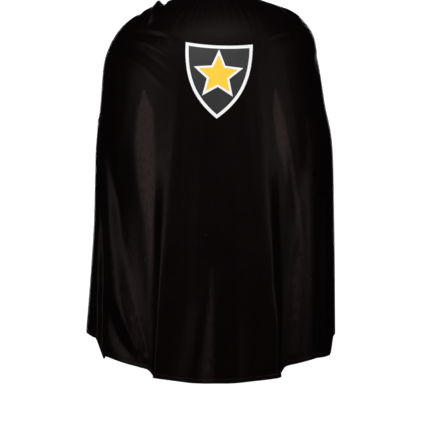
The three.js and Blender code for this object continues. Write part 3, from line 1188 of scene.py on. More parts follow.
DRAPE_CREASES = (
    Fold(  # pulls from the point of the left shoulder
        ((-0.252, -0.110), (-0.200, -0.112), (-0.150, -0.122), (-0.084, -0.140)),
        (0.002, 0.0035, 0.0025, 0.0),
        0.007,
        0.006,
    ),
    Fold(
        ((-0.256, -0.124), (-0.200, -0.126), (-0.150, -0.138), (-0.090, -0.160)),
        (-0.002, -0.0035, -0.002, 0.0),
        0.006,
        0.006,
    ),
    Fold(((-0.262, -0.136), (-0.190, -0.152), (-0.10, -0.20)), (0.002, 0.0028, 0.0), 0.008, 0.007),
    Fold(((-0.266, -0.150), (-0.200, -0.176), (-0.11, -0.25)), (-0.002, -0.0025, 0.0), 0.008, 0.008),
    Fold(((-0.270, -0.172), (-0.196, -0.222), (-0.11, -0.30)), (0.002, 0.002, 0.0), 0.010, 0.010),
    Fold(  # the tuck that hooks over the left shoulder, and the hollow beside it
        ((-0.150, -0.020), (-0.158, -0.044), (-0.172, -0.074), (-0.187, -0.100)),
        (0.010, 0.010, 0.007, 0.001),
        0.007,
        0.010,
    ),
    Fold(
        ((-0.139, -0.024), (-0.147, -0.048), (-0.162, -0.077), (-0.179, -0.104)),
        (-0.010, -0.012, -0.008, -0.001),
        0.005,
        0.005,
    ),
    Fold(((-0.206, -0.050), (-0.216, -0.074), (-0.222, -0.100)), (-0.003, -0.003, 0.0), 0.006, 0.006),
    Fold(((0.196, -0.040), (0.218, -0.050), (0.240, -0.070)), (0.003, 0.006, 0.002), 0.008, 0.008),
    Fold(((0.190, -0.052), (0.210, -0.066), (0.228, -0.092)), (-0.002, -0.005, -0.001), 0.007, 0.007),
    Fold(((0.252, -0.108), (0.190, -0.120), (0.12, -0.150)), (0.002, 0.0025, 0.0), 0.008, 0.008),
    Fold(((0.283, -0.18), (0.290, -0.30), (0.296, -0.44)), (-0.002, -0.003, -0.002), 0.008, 0.008),
)

# Paths of painted highlight: the satin's colour is made lighter along them, where the side lights'
# reflections fall on the back.
PAINTED_HIGHLIGHTS = (
    Fold(  # two long marks over the shoulder blades
        (
            (-0.194, -0.285), (-0.190, -0.34), (-0.190, -0.44),
            (-0.186, -0.53), (-0.174, -0.64), (-0.166, -0.93),
        ),
        (0.6, 1.0, 1.0, 0.9, 0.62, 0.4),
        (0.006, 0.025, 0.032, 0.030, 0.018, 0.016),
        (0.006, 0.025, 0.034, 0.030, 0.030, 0.030),
    ),
    Fold(
        ((0.165, -0.285), (0.170, -0.34), (0.182, -0.42), (0.190, -0.48), (0.196, -0.54)),
        (0.6, 0.8, 0.8, 0.6, 0.4),
        (0.006, 0.017, 0.022, 0.018, 0.010),
        (0.006, 0.016, 0.018, 0.016, 0.010),
    ),
    Fold(
        (
            (0.178, -0.30), (0.204, -0.46), (0.222, -0.58),
            (0.236, -0.70), (0.222, -0.80), (0.212, -0.99),
        ),
        (0.4, 0.55, 0.58, 0.5, 0.53, 0.45),
        (0.010, 0.012, 0.014, 0.020, 0.036, 0.034),
        (0.008, 0.010, 0.012, 0.016, 0.034, 0.032),
    ),
    Fold(  # fainter ones lower down
        ((-0.008, -0.77), (-0.012, -0.90), (-0.022, -1.06)),
        (0.45, 0.5, 0.5),
        (0.008, 0.022, 0.040),
        (0.008, 0.022, 0.040),
    ),
    Fold(((-0.236, -0.62), (-0.216, -0.80), (-0.204, -1.0)), (0.4, 0.5, 0.44), 0.05, 0.05),
    Fold(((-0.292, -0.13), (-0.312, -0.22), (-0.325, -0.48)), (0.5, 0.58, 0.4), 0.007, 0.008),
)


@dataclass
class Swing:
    """The sewn cloth's pieces, with their placement baked into their meshes."""

    top: float = 0.036
    low: float = 0.392

    def apply(self, *pieces: Piece) -> None:
        """Bakes each piece's placement into its mesh, all alike."""
        for piece in pieces:
            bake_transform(piece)


@dataclass
class Panels:
    """The back panel and the two front panels, cut from the sheet along the side seams and marked with
    patches of painted highlight.
    """

    cloth: float = 0.0006
    pinch: float = 0.0009
    dimple: float = 0.0004
    hem_stitch: float = 3.2
    pinch_columns: tuple[float, ...] = (0.0, 0.12, 0.3)
    # the paths of painted highlight, and how sharply their patches are cut
    strokes: tuple[Fold, ...] = ()
    stroke_edge: tuple[float, float] = (0.3, 0.7)

    def _columns(self, first: int, last: int, seams: tuple[int, ...]) -> tuple[Array, Array]:
        """The columns of one panel, and how far each dips at a side seam.

        Args:
            first: The first column of the fine grid.
            last: The last one.
            seams: Those of the two that lie on a side seam.

        Returns:
            Fractional columns, and the dip of each.
        """
        start = [first + c for c in self.pinch_columns] if first in seams else [first]
        end = [last - c for c in reversed(self.pinch_columns)] if last in seams else [last]
        columns = np.array([*start, *range(first + 1, last), *end], float)
        away = np.min([np.abs(columns - s) for s in seams], axis=0)
        return columns, self.pinch * np.clip(1 - away / 0.2, 0, 1)

    def _rows(self, count: int) -> tuple[Array, Array]:
        """The rows of a panel, and how far each dips at the hem's stitching."""
        line = count - 1 - self.hem_stitch
        extra = [line - 0.22, line, line + 0.22]
        rows = np.sort(np.array([*range(count), *extra], float))
        return rows, self.dimple * np.clip(1 - np.abs(rows - line) / 0.2, 0, 1)

    def _panel(self, sheet: Sheet, first: int, last: int, seams: tuple[int, int]) -> tuple[Array, ...]:
        """One panel, as a thin closed sheet.

        Args:
            sheet: The whole cloth.
            first: The panel's first column.
            last: Its last column.
            seams: The columns of both side seams.

        Returns:
            Its points, its faces, which faces are inside, each point's place on the flat cloth, and
            how worn it is.
        """
        rows, row_dip = self._rows(sheet.points.shape[0])
        own = tuple(s for s in seams if s in (first, last))
        columns, column_dip = self._columns(first, last, own)
        points, normals, lay = sheet.at(rows[:, None], columns[None, :])
        dip = np.maximum(row_dip[:, None], column_dip[None, :])[..., None]
        outer = points - normals * dip
        inner = points - normals * (self.cloth + dip)
        edge = np.zeros(outer.shape[:2])
        edge[-3:] = 1.0
        if first == 0:
            edge[:, :2] = 1.0
        if last == sheet.points.shape[1] - 1:
            edge[:, -2:] = 1.0
        return stacked(outer, inner), *slab_faces(*edge.shape), stacked(lay, lay), np.tile(edge.ravel(), 2)

    def build(self, sheet: Sheet, seams: tuple[int, int], palette: Palette) -> dict[str, Piece]:
        """Cuts the panels.

        Args:
            sheet: The whole cloth.
            seams: The columns of the left and right side seams.
            palette: The finishes.

        Returns:
            The panels by name.
        """
        left, right = seams
        last_column = sheet.points.shape[1] - 1
        cuts = {
            "back_panel": (left, right, ("back_panel_shoulders", "back_panel_drape")),
            "left_front_panel": (0, left, ("left_front_panel_shoulder", "left_front_panel_drape")),
            "right_front_panel": (
                right,
                last_column,
                ("right_front_panel_shoulder", "right_front_panel_drape"),
            ),
        }
        made = {}
        for name, (first, last, nodes) in cuts.items():
            points, faces, *rest = self._panel(sheet, first, last, seams)
            made[name] = make_object(name, points, faces, [palette.face, palette.reverse], *rest)
            self._stroke(made[name])
            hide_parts(*nodes)
        return made

    def _stroke(self, panel: Piece) -> None:
        """Marks the patches of painted highlight, where the satin's colour is made lighter to stand for
        the side lights' reflections.
        """
        read = np.zeros(len(panel.data.vertices) * 3, np.float32)
        panel.data.vertices.foreach_get("co", read)
        across, up = read[0::3].astype(float), read[2::3].astype(float)
        low, high = self.stroke_edge
        mark = sum(smooth((s.lift(across, up) - low) / (high - low)) for s in self.strokes)
        values = np.clip(mark, 0, 1).astype(np.float32)
        panel.data.attributes.new("nap", "FLOAT", "POINT").data.foreach_set("value", values)


def edge_strip(lines: Array, normals: Array, section: Array) -> Part:
    """A closed strip that follows an edge of the cloth.

    Args:
        lines: For each station along the edge, the cloth's points that lead up to the edge.
        normals: The way out at those points.
        section: The strip's section: how far each corner lies past the edge, and how far out.

    Returns:
        The points and faces of the strip.
    """
    rings: list[Array] = []
    for line, out in zip(lines, normals):
        steps = lengths(line)
        at = np.minimum(steps[-1] + section[:, 0], steps[-1])
        past = np.maximum(section[:, 0], 0)[:, None]
        base = read_line(line, at, steps)
        way = unit(read_line(out, at, steps))
        end = unit(line[-1] - line[-2])
        rings.append(base + past * end + way * section[:, 1:2])
    return tube(np.array(rings))


def turned_outwards(made: Piece) -> Piece:
    """Makes all of a closed mesh's faces look outwards."""
    mesh = bmesh.new()
    mesh.from_mesh(made.data)
    bmesh.ops.recalc_face_normals(mesh, faces=mesh.faces)
    mesh.to_mesh(made.data)
    mesh.free()
    made.data.set_sharp_from_angle(angle=math.radians(50))
    return made


@dataclass
class Hems:
    """The turned hem at the bottom and down the front edges, with its stitching."""

    depth: float = 0.0125
    front_depth: float = 0.009
    margin: int = 8
    thread: Thread = Thread()

    def _section(self, depth: float) -> Array:
        """The hem's section: past the edge, and out of the cloth."""
        return np.array(
            [
                (-depth, -0.0008),
                (-depth, -0.0016),
                (-depth * 0.5, -0.0019),
                (-0.0008, -0.0020),
                (0.0005, -0.0016),
                (0.0010, -0.0008),
                (0.0008, 0.0),
                (0.0001, 0.0004),
                (-0.0010, 0.0003),
                (-0.0016, -0.00002),
                (-0.0010, -0.0008),
            ]
        )

    def _edge(self, name: str, lines: Array, outs: Array, depth: float, palette: Palette) -> list[Piece]:
        """One hem and its stitching, along the ends of the cloth's lines that lead up to it."""
        part = edge_strip(lines, outs, self._section(depth))
        made = turned_outwards(make_object(name, *part, [palette.face]))
        sewn = np.array([read_back(line, depth * 0.86) for line in lines])
        way = unit(outs[:, -2])
        stitches = self.thread.row(sewn - way * 0.0001, way)
        thread = make_object(f"{name}_stitching", *stitches, [palette.thread])
        return [made, thread]

    def build(self, sheet: Sheet, palette: Palette) -> list[Piece]:
        """Makes the hems."""
        grids, m = (sheet.points, sheet.normals), self.margin
        bottom = (grid[-m:].swapaxes(0, 1) for grid in grids)
        left = (grid[:, :m][:, ::-1] for grid in grids)
        right = (grid[:, -m:] for grid in grids)
        return [
            *self._edge("bottom_hem", *bottom, self.depth, palette),
            *self._edge("left_front_hem", *left, self.front_depth, palette),
            *self._edge("right_front_hem", *right, self.front_depth, palette),
        ]


def laid_slab(sheet: Sheet, rows: Array, columns: Array, top: float, low: float) -> tuple:
    """A closed slab that follows the cloth.

    Args:
        sheet: The cloth.
        rows: Fractional rows, as a grid.
        columns: Fractional columns, as a grid.
        top: How far its outer face stands out of the cloth's outer face.
        low: The same for its inner face.

    Returns:
        Its points, its faces, and each point's place on the flat cloth.
    """
    points, normals, lay = sheet.at(rows, columns)
    faces, _ = slab_faces(*points.shape[:2])
    return stacked(points + normals * top, points + normals * low), faces, stacked(lay, lay)


@dataclass
class SideSeams:
    """The seams down the sides: overlocked allowances inside, pressed towards the back."""

    allowance: float = 2.0
    depths: tuple[float, float] = (-0.0008, -0.0019)
    loop_in: float = 0.0014
    loop: tuple[float, float, float] = (0.0016, 0.0009, 0.0016)
    thread: Thread = Thread(length=0.0042, pitch=0.0030, radius=0.0003, rise=0.0003)

    def build(self, sheet: Sheet, seams: tuple[int, int], palette: Palette) -> list[Piece]:
        """Makes both seams' allowances and their overlocking."""
        made = []
        rows = np.arange(1, sheet.points.shape[0] - 3, 1.0)
        for side, seam in zip(Side, seams):
            name = f"{side.word}_side_seam"
            inwards = -side.value
            columns = seam + inwards * np.linspace(0.0, self.allowance, 4)
            if inwards < 0:
                columns = columns[::-1]
            grid = np.broadcast_arrays(rows[:, None], columns[None, :])
            points, faces, lay = laid_slab(sheet, *grid, *self.depths)
            allowance = make_object(name, points, faces, [palette.reverse], lay=lay)
            edge = seam + inwards * self.allowance
            line, out, _ = sheet.at(rows, np.full(rows.shape, edge))
            loops = self._overlock(line - out * self.loop_in, out)
            thread = make_object(f"{name}_overlock", *loops, [palette.thread])
            for piece in (allowance, thread):
                made.append(piece)
        return made

    def _overlock(self, line: Array, out: Array) -> Part:
        """Slanting loops of thread round the allowance's edge."""
        total = np.linalg.norm(np.diff(line, axis=0), axis=1).sum()
        starts = np.arange(0.002, total - 0.006, self.thread.pitch)
        both = np.concatenate([line, out], axis=1)
        here = read_along(both, starts)
        there = read_along(both, starts + 0.0015)
        along = unit(there[:, :3] - here[:, :3])
        across = np.cross(along, here[:, 3:])
        turn = np.linspace(0, 2 * math.pi, 7)[:-1]
        wide, deep, slant = self.loop
        paths = (
            here[:, None, :3]
            + across[:, None] * (wide * np.cos(turn))[:, None]
            + here[:, None, 3:] * (deep * np.sin(turn))[:, None]
            + along[:, None] * (slant * turn / (2 * math.pi))[:, None]
        )
        return tubes(paths, along[:, None], np.full(6, self.thread.radius * 0.8), 4)


# ------------------------------------------------------------------ neckband and closure


@dataclass(frozen=True)
class NeckLine:
    """The oval that the neckband follows, in metres."""

    across: float
    deep: float

    @classmethod
    def of_band(cls, thick: float) -> NeckLine:
        """The oval of the band's inner face."""
        low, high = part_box("neckband")
        return cls(high.x - thick, -low.y - thick)

    def at(self, angle: Array, off: Array, height: Array) -> Array:
        """Points round the neck, at angles in degrees from the middle of the back."""
        angle, off, height = np.broadcast_arrays(angle, off, height)
        turn = np.radians(angle)
        across, back = (self.across + off) * np.sin(turn), (self.deep + off) * np.cos(turn)
        return np.stack([across, -back, height], -1)

    def out(self, angle: Array) -> Array:
        """The way out at angles round the neck."""
        turn = np.radians(angle)
        return unit(np.stack([np.sin(turn) * self.deep, -np.cos(turn) * self.across, 0 * turn], -1))


@dataclass
class Neckband:
    """A strip of the same cloth, folded over a stiffener and sewn round the neck seam."""

    thick: float = 0.0046
    wall: float = 0.0012
    end: float = 132.0
    step: float = 1.2
    overlap: float = 0.0007
    pucker: float = 0.0003
    sag: float = 0.0004
    dent: float = 0.00035
    dent_half: float = 0.0006
    stitch_low: float = 0.0032
    stitch_high: float = 0.0042

    def _section(self, low: float, high: float) -> Array:
        """The folded strip's section: how far each point lies out, and its height."""
        half = self.thick / 2
        bend = high - half
        rows = (low + self.stitch_low, high - self.stitch_high)
        near = (r + d for r in rows for d in (-self.dent_half, 0.0, self.dent_half))
        dips = sorted({low, *near, *np.linspace(low + 0.007, bend, 4)})
        dips = [z for z in dips if z <= bend + 1e-9]
        dent = [self.dent if min(abs(z - r) for r in rows) < 1e-6 else 0.0 for z in dips]
        crown = np.linspace(0, math.pi, 13)
        inside = half - self.wall
        outer = [(self.thick - d, z) for z, d in zip(dips, dent)]
        top = [(half + half * math.cos(a), bend + half * math.sin(a)) for a in crown[1:-1]]
        back = [(0.0, z) for z in reversed(dips)]
        rise = [(self.wall, low), (self.wall, bend)]
        under = [(half - inside * math.cos(a), bend + inside * math.sin(a)) for a in crown[1:-1]]
        fall = [(self.thick - self.wall, bend), (self.thick - self.wall, low)]
        return np.array([*outer, *top, *back, *rise, *under, *fall])

    def _ease(self, angle: Array, height: Array, low: float, high: float) -> Array:
        """How far small puckers move the band out."""
        share = (height - low) / (high - low)
        wave = np.sin(np.radians(angle) * 31) + 0.6 * np.sin(np.radians(angle) * 53 + 1.7)
        return self.pucker * wave * np.sin(math.pi * np.clip(share, 0, 1)) ** 0.7

    def build(self, palette: Palette) -> list[Piece]:
        """Makes the band, its stitching and its stiffener."""
        neck = NeckLine.of_band(self.thick)
        box_low, box_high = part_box("neckband")
        low, high = box_low.z - self.overlap, box_high.z
        angles = np.arange(-self.end, self.end + 1e-6, self.step)
        section = self._section(low, high)
        off = section[:, 0] + self._ease(angles[:, None], section[:, 1], low, high)
        sag = self.sag * np.sin(np.radians(angles) * 9 + 0.6)[:, None] * (section[:, 1] > low + 0.02)
        rings = neck.at(angles[:, None], off, section[:, 1] + sag)
        along = np.radians(angles) * neck.across
        lay = np.stack(np.broadcast_arrays(along[:, None], lengths(section)), -1).reshape(-1, 2)
        worn = np.broadcast_to(section[:, 1] > high - 0.001, rings.shape[:2]).astype(float).ravel()
        band = make_object("neckband_folded", *tube(rings), [palette.band], None, lay, worn)
        turned_outwards(band)
        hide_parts("neckband")
        rows = []
        for height in (low + self.stitch_low, high - self.stitch_high):
            ease = self._ease(angles, np.full(angles.shape, height), low, high)
            for off, way in ((self.thick - 0.0002, 1), (0.0, -1)):
                line = neck.at(angles, off + ease, height)
                rows.append(Thread().row(line, way * neck.out(angles)))
        thread = make_object("neckband_stitching", *merged(rows), [palette.thread])
        stiffener = self._stiffener(neck, palette)
        for piece in (band, thread, stiffener):
            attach(piece, Body.SHOULDERS.value)
        return [band, thread, stiffener]

    def _stiffener(self, neck: NeckLine, palette: Palette) -> Piece:
        """The woven stiffening tape inside the band."""
        low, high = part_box("neckband_stiffener")
        angles = np.arange(-self.end + 2, self.end - 2 + 1e-6, self.step)
        off = (0.0016, 0.0016, 0.0020, 0.0027, 0.0030, 0.0030)
        shoulder = high.z - 0.0005
        height = (low.z, shoulder, high.z, high.z, shoulder, low.z)
        rings = neck.at(angles[:, None], off, height)
        tape = make_object("stiffening_tape", *tube(rings), [palette.interfacing])
        turned_outwards(tape)
        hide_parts("neckband_stiffener")
        return tape


@dataclass
class Tab:
    """One end of the neckband's closure, with its patch of hook or loop tape."""

    side: Side
    neck: NeckLine
    thick: float = 0.003
    root: float = 132.35
    span: float = 52.0
    lap: float = 0.0
    corner: float = 0.008
    tip: float = 7.0
    bend: float = 0.019
    quilting: float = 0.16
    waviness: float = 0.0003
    inset: float = 0.0023

    @property
    def name(self) -> str:
        """The tab's CAD node."""
        return f"{self.side.word}_neck_tab"

    @property
    def body(self) -> Body:
        """The body that the tab's tip rides on."""
        return Body.LEFT_TAB if self.side is Side.LEFT else Body.RIGHT_TAB

    def step_out(self, angle: Array) -> Array:
        """How far the tab has stepped out, at angles from the middle of the back."""
        return self.lap * smooth((np.abs(angle) - 136.0) / 36.0)

    def _outline(self, angles: Array, half: float) -> Array:
        """Half the tab's height at each angle, with a rounded tip."""
        left = (np.abs(angles[-1]) - np.abs(angles)) * math.radians(1) * self.neck.across
        into = np.clip(self.corner - left, 0, self.corner)
        return half - (self.corner - np.sqrt(np.maximum(self.corner**2 - into**2, 0)))

    def build(self, palette: Palette) -> list[Piece]:
        """Makes the tab and its stitching."""
        low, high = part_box(self.name)
        middle, half = (low.z + high.z) / 2, (high.z - low.z) / 2
        end = self.root + self.span
        body = np.arange(self.root, end - self.tip, 1.2)
        tip = end - self.tip * np.linspace(1, 0, 14) ** 1.6
        angles = self.side.value * np.concatenate([body, tip])
        halves = self._outline(angles, half)
        soft = self.thick / 2
        turn = np.linspace(0, 2 * math.pi, 37)[:-1]
        round_off = soft * np.sign(np.cos(turn)) * np.abs(np.cos(turn)) ** 0.35
        round_up = np.sign(np.sin(turn)) * np.abs(np.sin(turn)) ** 0.7
        quilt = 1 - self.quilting * np.exp(-(((np.abs(round_up) - 0.84) / 0.05) ** 2))
        off = soft + round_off * quilt + self.step_out(angles)[:, None]
        height = middle + halves[:, None] * round_up
        turned = np.radians(angles)[:, None]
        wave = self.waviness * np.sin(turned * 27) * (1 - np.abs(round_up))
        rings = self.neck.at(angles[:, None], off + wave, height)
        lay = np.stack([turned * self.neck.across + 0 * height, height], -1).reshape(-1, 2)
        worn = np.zeros(rings.shape[:2])
        worn[-4:] = 1
        name = f"{self.side.word}_tab"
        tab = make_object(name, *tube(rings), [palette.band], None, lay, worn.ravel())
        turned_outwards(tab)
        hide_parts(self.name)
        rows = []
        loop = np.concatenate([angles[:-4], angles[:-4][::-1]])
        inside = halves[:-4] - self.inset
        up = np.concatenate([inside, -inside[::-1]])
        for face, way in ((self.thick, 1), (0.0, -1)):
            line = self.neck.at(loop, face - way * 0.00022 + self.step_out(loop), middle + up)
            rows.append(Thread().row(line, way * self.neck.out(loop)))
        thread = make_object(f"{name}_stitching", *merged(rows), [palette.thread])
        self._bend(tab, thread)
        return [tab, thread]

    def _bend(self, *pieces: Piece) -> None:
        """Bakes the pieces' placement into their meshes; the root and its direction are worked out but not
        used.
        """
        root = self.neck.at(np.array(self.side.value * self.root), self.thick / 2, 0.0)
        turn = math.radians(self.root)
        across = self.side.value * math.cos(turn) * self.neck.across
        way = Vector((across, math.sin(turn) * self.neck.deep, 0))
        way.normalize()
        for piece in pieces:
            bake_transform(piece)


class Touch(Enum):
    """The two halves of hook-and-loop tape."""

    HOOKS = "hook"
    LOOPS = "loop"


@dataclass
class TouchTape:
    """A patch of hook or loop tape, with its hooks or loops and its stitching."""

    kind: Touch
    base: float = 0.0005
    gap: float = 0.0001
    pitch: float = 0.0018
    wire: float = 0.00011
    inset: float = 0.0024
    reach: tuple[float, float] = (177.5, 208.5)
    seed: int = 7

    def bristles(self, feet: Array, out: Array, along: Array) -> Part:
        """Small hooks or loops.

        Args:
            feet: The foot of each one.
            out: The way out of the tape there.
            along: A direction in the tape.

        Returns:
            Their points and faces.
        """
        draw = np.random.default_rng(self.seed)
        turn = draw.uniform(-0.5, 0.5, len(feet))[:, None]
        across = np.cross(out, along)
        way = unit(along * np.cos(turn) + across * np.sin(turn))
        if self.kind is Touch.HOOKS:
            shape = np.array([(0, -0.1), (0, 0.45), (0.12, 0.72), (0.36, 0.74), (0.5, 0.55)])
        else:
            shape = np.array([(-0.45, -0.1), (-0.38, 0.4), (0, 0.72), (0.38, 0.4), (0.45, -0.1)])
        shape = shape * 0.001
        paths = feet[:, None] + way[:, None] * shape[:, :1] + out[:, None] * shape[:, 1:]
        side = np.cross(way, out)[:, None]
        return tubes(paths, side, np.full(5, self.wire), 4)

    def on_tab(self, tab: Tab, palette: Palette) -> list[Piece]:
        """Makes the patch on a neck tab."""
        kind, neck = self.kind.value, tab.neck
        node, name = f"{kind}_patch", f"{kind}_tape"
        low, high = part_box(node)
        faces_out = self.kind is Touch.LOOPS
        way = 1 if faces_out else -1
        material = palette.loops if faces_out else palette.hooks
        angles = np.linspace(*self.reach, 33) - (0 if tab.side is Side.RIGHT else 360)
        near = (tab.thick if faces_out else tab.lap) + way * self.gap
        far = near + way * self.base
        grid_angle, grid_height = np.meshgrid(angles, np.linspace(low.z, high.z, 25))
        tops, lows = (neck.at(grid_angle, off, grid_height) for off in sorted((near, far), reverse=True))
        faces, _ = slab_faces(*grid_angle.shape)
        lay = np.stack([np.radians(grid_angle) * neck.across, grid_height], -1)
        patch = make_object(name, stacked(tops, lows), faces, [material], None, stacked(lay, lay))
        turned_outwards(patch)
        feet_angle, feet_height = np.meshgrid(
            np.arange(angles[0] + 2.6, angles[-1] - 2.4, math.degrees(self.pitch / neck.across)),
            np.arange(low.z + self.inset + 0.0006, high.z - self.inset, self.pitch),
        )
        shift = (np.arange(feet_angle.shape[0])[:, None] % 2) * 0.8
        feet_angle = (feet_angle + shift).ravel()
        feet = neck.at(feet_angle, far, feet_height.ravel())
        along = np.broadcast_to([0.0, 0.0, 1.0], feet.shape)
        part = self.bristles(feet, way * neck.out(feet_angle), along)
        bristles = make_object(f"{name}_{kind}s", *part, [material])
        border = self._border(angles, low.z, high.z, self.inset * 0.6)
        line = neck.at(border[:, 0], far, border[:, 1])
        part = Thread(rise=0.0).row(line, way * neck.out(border[:, 0]))
        thread = make_object(f"{name}_stitching", *part, [palette.thread])
        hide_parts(node)
        for piece in (patch, bristles, thread):
            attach(piece, tab.body.value)
        return [patch, bristles, thread]

    @staticmethod
    def _border(angles: Array, low: float, high: float, inset: float) -> Array:
        """Angles and heights along a box of stitching round the patch."""
        turn = math.degrees(inset / 0.064)
        a, b = angles[0] + turn, angles[-1] - turn
        z0, z1 = low + inset, high - inset
        corners = np.array([(a, z0), (b, z0), (b, z1), (a, z1), (a, z0)])
        return read_line(corners, np.linspace(0, 4, 161))


@dataclass
class ShoulderPad:
    """A grip patch under a shoulder: hook tape on a thin padded backing, sewn to the cloth."""

    side: Side
    columns: int = 23
    rows: int = 13
    edge: float = 0.0035
    rim: float = 0.0008
    pitch: float = 0.002
    sewn_in: float = 0.0045

    def build(self, back: BVHTree, palette: Palette) -> list[Piece]:
        """Makes the patch.

        Args:
            back: The cloth's inner face, to fit the backing to.
            palette: The finishes.

        Returns:
            The backing, the hooks and the stitching.
        """
        node = f"{self.side.word}_shoulder_patch"
        corners = np.array([v.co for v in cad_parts[node].data.vertices])
        centre = (corners.min(0) + corners.max(0)) / 2
        axes = self._axes(corners - centre)
        local = (corners - centre) @ axes.T
        half = np.abs(local).max(0)
        x = np.linspace(-half[0], half[0], self.columns)
        y = np.linspace(-half[1], half[1], self.rows)
        grid_y, grid_x = np.meshgrid(y, x, indexing="ij")
        inwards = np.minimum(half[0] - np.abs(grid_x), half[1] - np.abs(grid_y))
        round_in = smooth(inwards / self.edge)

        def placed(x: Array, y: Array) -> Array:
            """Points on the patch's lower face, from places along and across it."""
            return centre + x[..., None] * axes[0] + y[..., None] * axes[1] - half[2] * axes[2]

        low = placed(grid_x, grid_y)
        top = np.array([[self._up(back, p, axes[2]) for p in row] for row in low])
        low = low * round_in[..., None] + (top - axes[2] * self.rim) * (1 - round_in[..., None])
        faces, under = slab_faces(*grid_x.shape)
        lay = np.stack([grid_x, grid_y], -1)
        own = np.flatnonzero(under).reshape(self.rows - 1, self.columns - 1)
        for border in (own[:1], own[-1:], own[:, :1], own[:, -1:]):
            under[border.ravel()] = 0
        name = f"{self.side.word}_grip"
        looks = [palette.band, palette.hooks]
        pad = make_object(f"{name}_pad", stacked(top, low), faces, looks, under, stacked(lay, lay))
        turned_outwards(pad)
        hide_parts(node)
        tape = TouchTape(Touch.HOOKS, pitch=self.pitch)
        across, along = (np.arange(-h + 0.006, h - 0.005, self.pitch) for h in half[:2])
        feet = placed(*(grid.ravel() for grid in np.meshgrid(across, along)))
        down, way = (np.broadcast_to(axis, feet.shape) for axis in (-axes[2], axes[0]))
        hooks = make_object(f"{name}_hooks", *tape.bristles(feet, down, way), [palette.hooks])
        a, b = half[:2] - self.sewn_in
        box = np.array([(-a, -b), (a, -b), (a, b), (-a, b), (-a, -b), (a, b), (a, -b), (-a, b)])
        sewn = placed(*read_line(box, np.linspace(0, 7, 281)).T)
        stitches = Thread(rise=0.0003).row(sewn, np.broadcast_to(-axes[2], sewn.shape))
        thread = make_object(f"{name}_stitching", *stitches, [palette.thread])
        for piece in (pad, hooks, thread):
            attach(piece, Body.SHOULDERS.value)
        return [pad, hooks, thread]

    def _axes(self, corners: Array) -> Array:
        """The patch's long, wide and upward directions, from its corners."""
        _, _, found = np.linalg.svd(np.unique(np.round(corners, 7), axis=0), full_matrices=False)
        up = found[2] * math.copysign(1.0, found[2][2])
        long = found[0] * math.copysign(1.0, found[0][0])
        return np.array([long, np.cross(up, long), up])

    @staticmethod
    def _up(back: BVHTree, point: Array, up: Array) -> Array:
        """The point of the cloth's inner face above a point of the patch."""
        hit, _, _, far = back.ray_cast(Vector(point), Vector(up), 0.03)
        lift = 0.0045 if hit is None else far
        return point + up * (lift - 0.0001)


# ------------------------------------------------------------------ labels


@dataclass
class RibbonLabel:
    """A blank ribbon label, folded in two, with its ends sewn into a seam."""

    name: str
    node: str
    body: Body | None
    run: int
    down: int
    sewn_high: bool = True
    ply: float = 0.00022
    opening: float = 0.0006
    droop: float = 0.004
    curl: float = 0.0012
    steps: int = 22
    sewn_in: float = 0.0025

    def _path(self, length: float) -> Array:
        """The folded ribbon's middle line: how far each point lies from the seam, and to which side."""
        steps = np.linspace(0, 1, self.steps)
        bend = np.linspace(0, math.pi, 7)[1:-1]
        gap, straight = self.opening, length - self.opening
        fall = [(s * straight, gap * (0.3 + 0.7 * s)) for s in steps]
        turn = [(straight + gap * math.sin(a), gap * math.cos(a)) for a in bend]
        return np.array([*fall, *turn, *((s, -off) for s, off in reversed(fall))])

    def _grid(self, line: Array, across: Array, third: int) -> Array:
        """One face of the ribbon.

        Args:
            line: Its middle line, as how far each point lies from the seam and to which side.
            across: Places across the ribbon, from -0.5 to 0.5.
            third: The axis that the ribbon's thickness lies along.

        Returns:
            A grid of points.
        """
        low, high = (np.array(corner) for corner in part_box(self.node))
        size, middle = high - low, (low + high) / 2
        share = line[:, :1] / size[self.down]
        grid = np.zeros((len(line), len(across), 3))
        grid[..., self.run] = middle[self.run] + across * size[self.run]
        fall = high[self.down] - line[:, :1] if self.sewn_high else low[self.down] + line[:, :1]
        grid[..., self.down] = fall
        sway = self.curl * (across**2 * 4 - 0.5) * np.clip(share, 0, 1) ** 1.5
        grid[..., third] = middle[third] + line[:, 1:] + sway
        if not self.sewn_high:
            grid[..., 2] -= self.droop * share**2
        return grid

    def build(self, palette: Palette) -> list[Piece]:
        """Makes the label and the stitches that hold it."""
        low, high = (np.array(corner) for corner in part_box(self.node))
        length, wide = (high - low)[self.down], (high - low)[self.run]
        path = self._path(length)
        way = unit(np.gradient(path, axis=0))
        side = np.stack([-way[:, 1], way[:, 0]], -1)
        across = np.linspace(-0.5, 0.5, 13)
        third = 3 - self.run - self.down
        grids = [self._grid(path + side * ply, across, third) for ply in (self.ply / 2, -self.ply / 2)]
        shape = grids[0].shape[:2]
        faces, _ = slab_faces(*shape)
        lay = np.stack(np.broadcast_arrays(across * wide, lengths(path)[:, None]), -1)
        worn = np.tile(np.broadcast_to(np.abs(across) > 0.45, shape).astype(float).ravel(), 2)
        looks = [palette.ribbon]
        label = make_object(self.name, stacked(*grids), faces, looks, None, stacked(lay, lay), worn)
        turned_outwards(label)
        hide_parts(self.node)
        sewn = np.argmin(np.abs(path[: self.steps, 0] - self.sewn_in))
        out = np.eye(3)[third]
        rows = []
        for grid, row, way in ((grids[0], sewn, out), (grids[1], len(path) - 1 - sewn, -out)):
            rows.append(Thread().row(grid[row], np.broadcast_to(way, grid[row].shape)))
        thread = make_object(f"{self.name}_stitching", *merged(rows), [palette.thread])
        for piece in (label, thread):
            if self.body:
                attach(piece, self.body.value)
        return [label, thread]


# ------------------------------------------------------------------ emblem


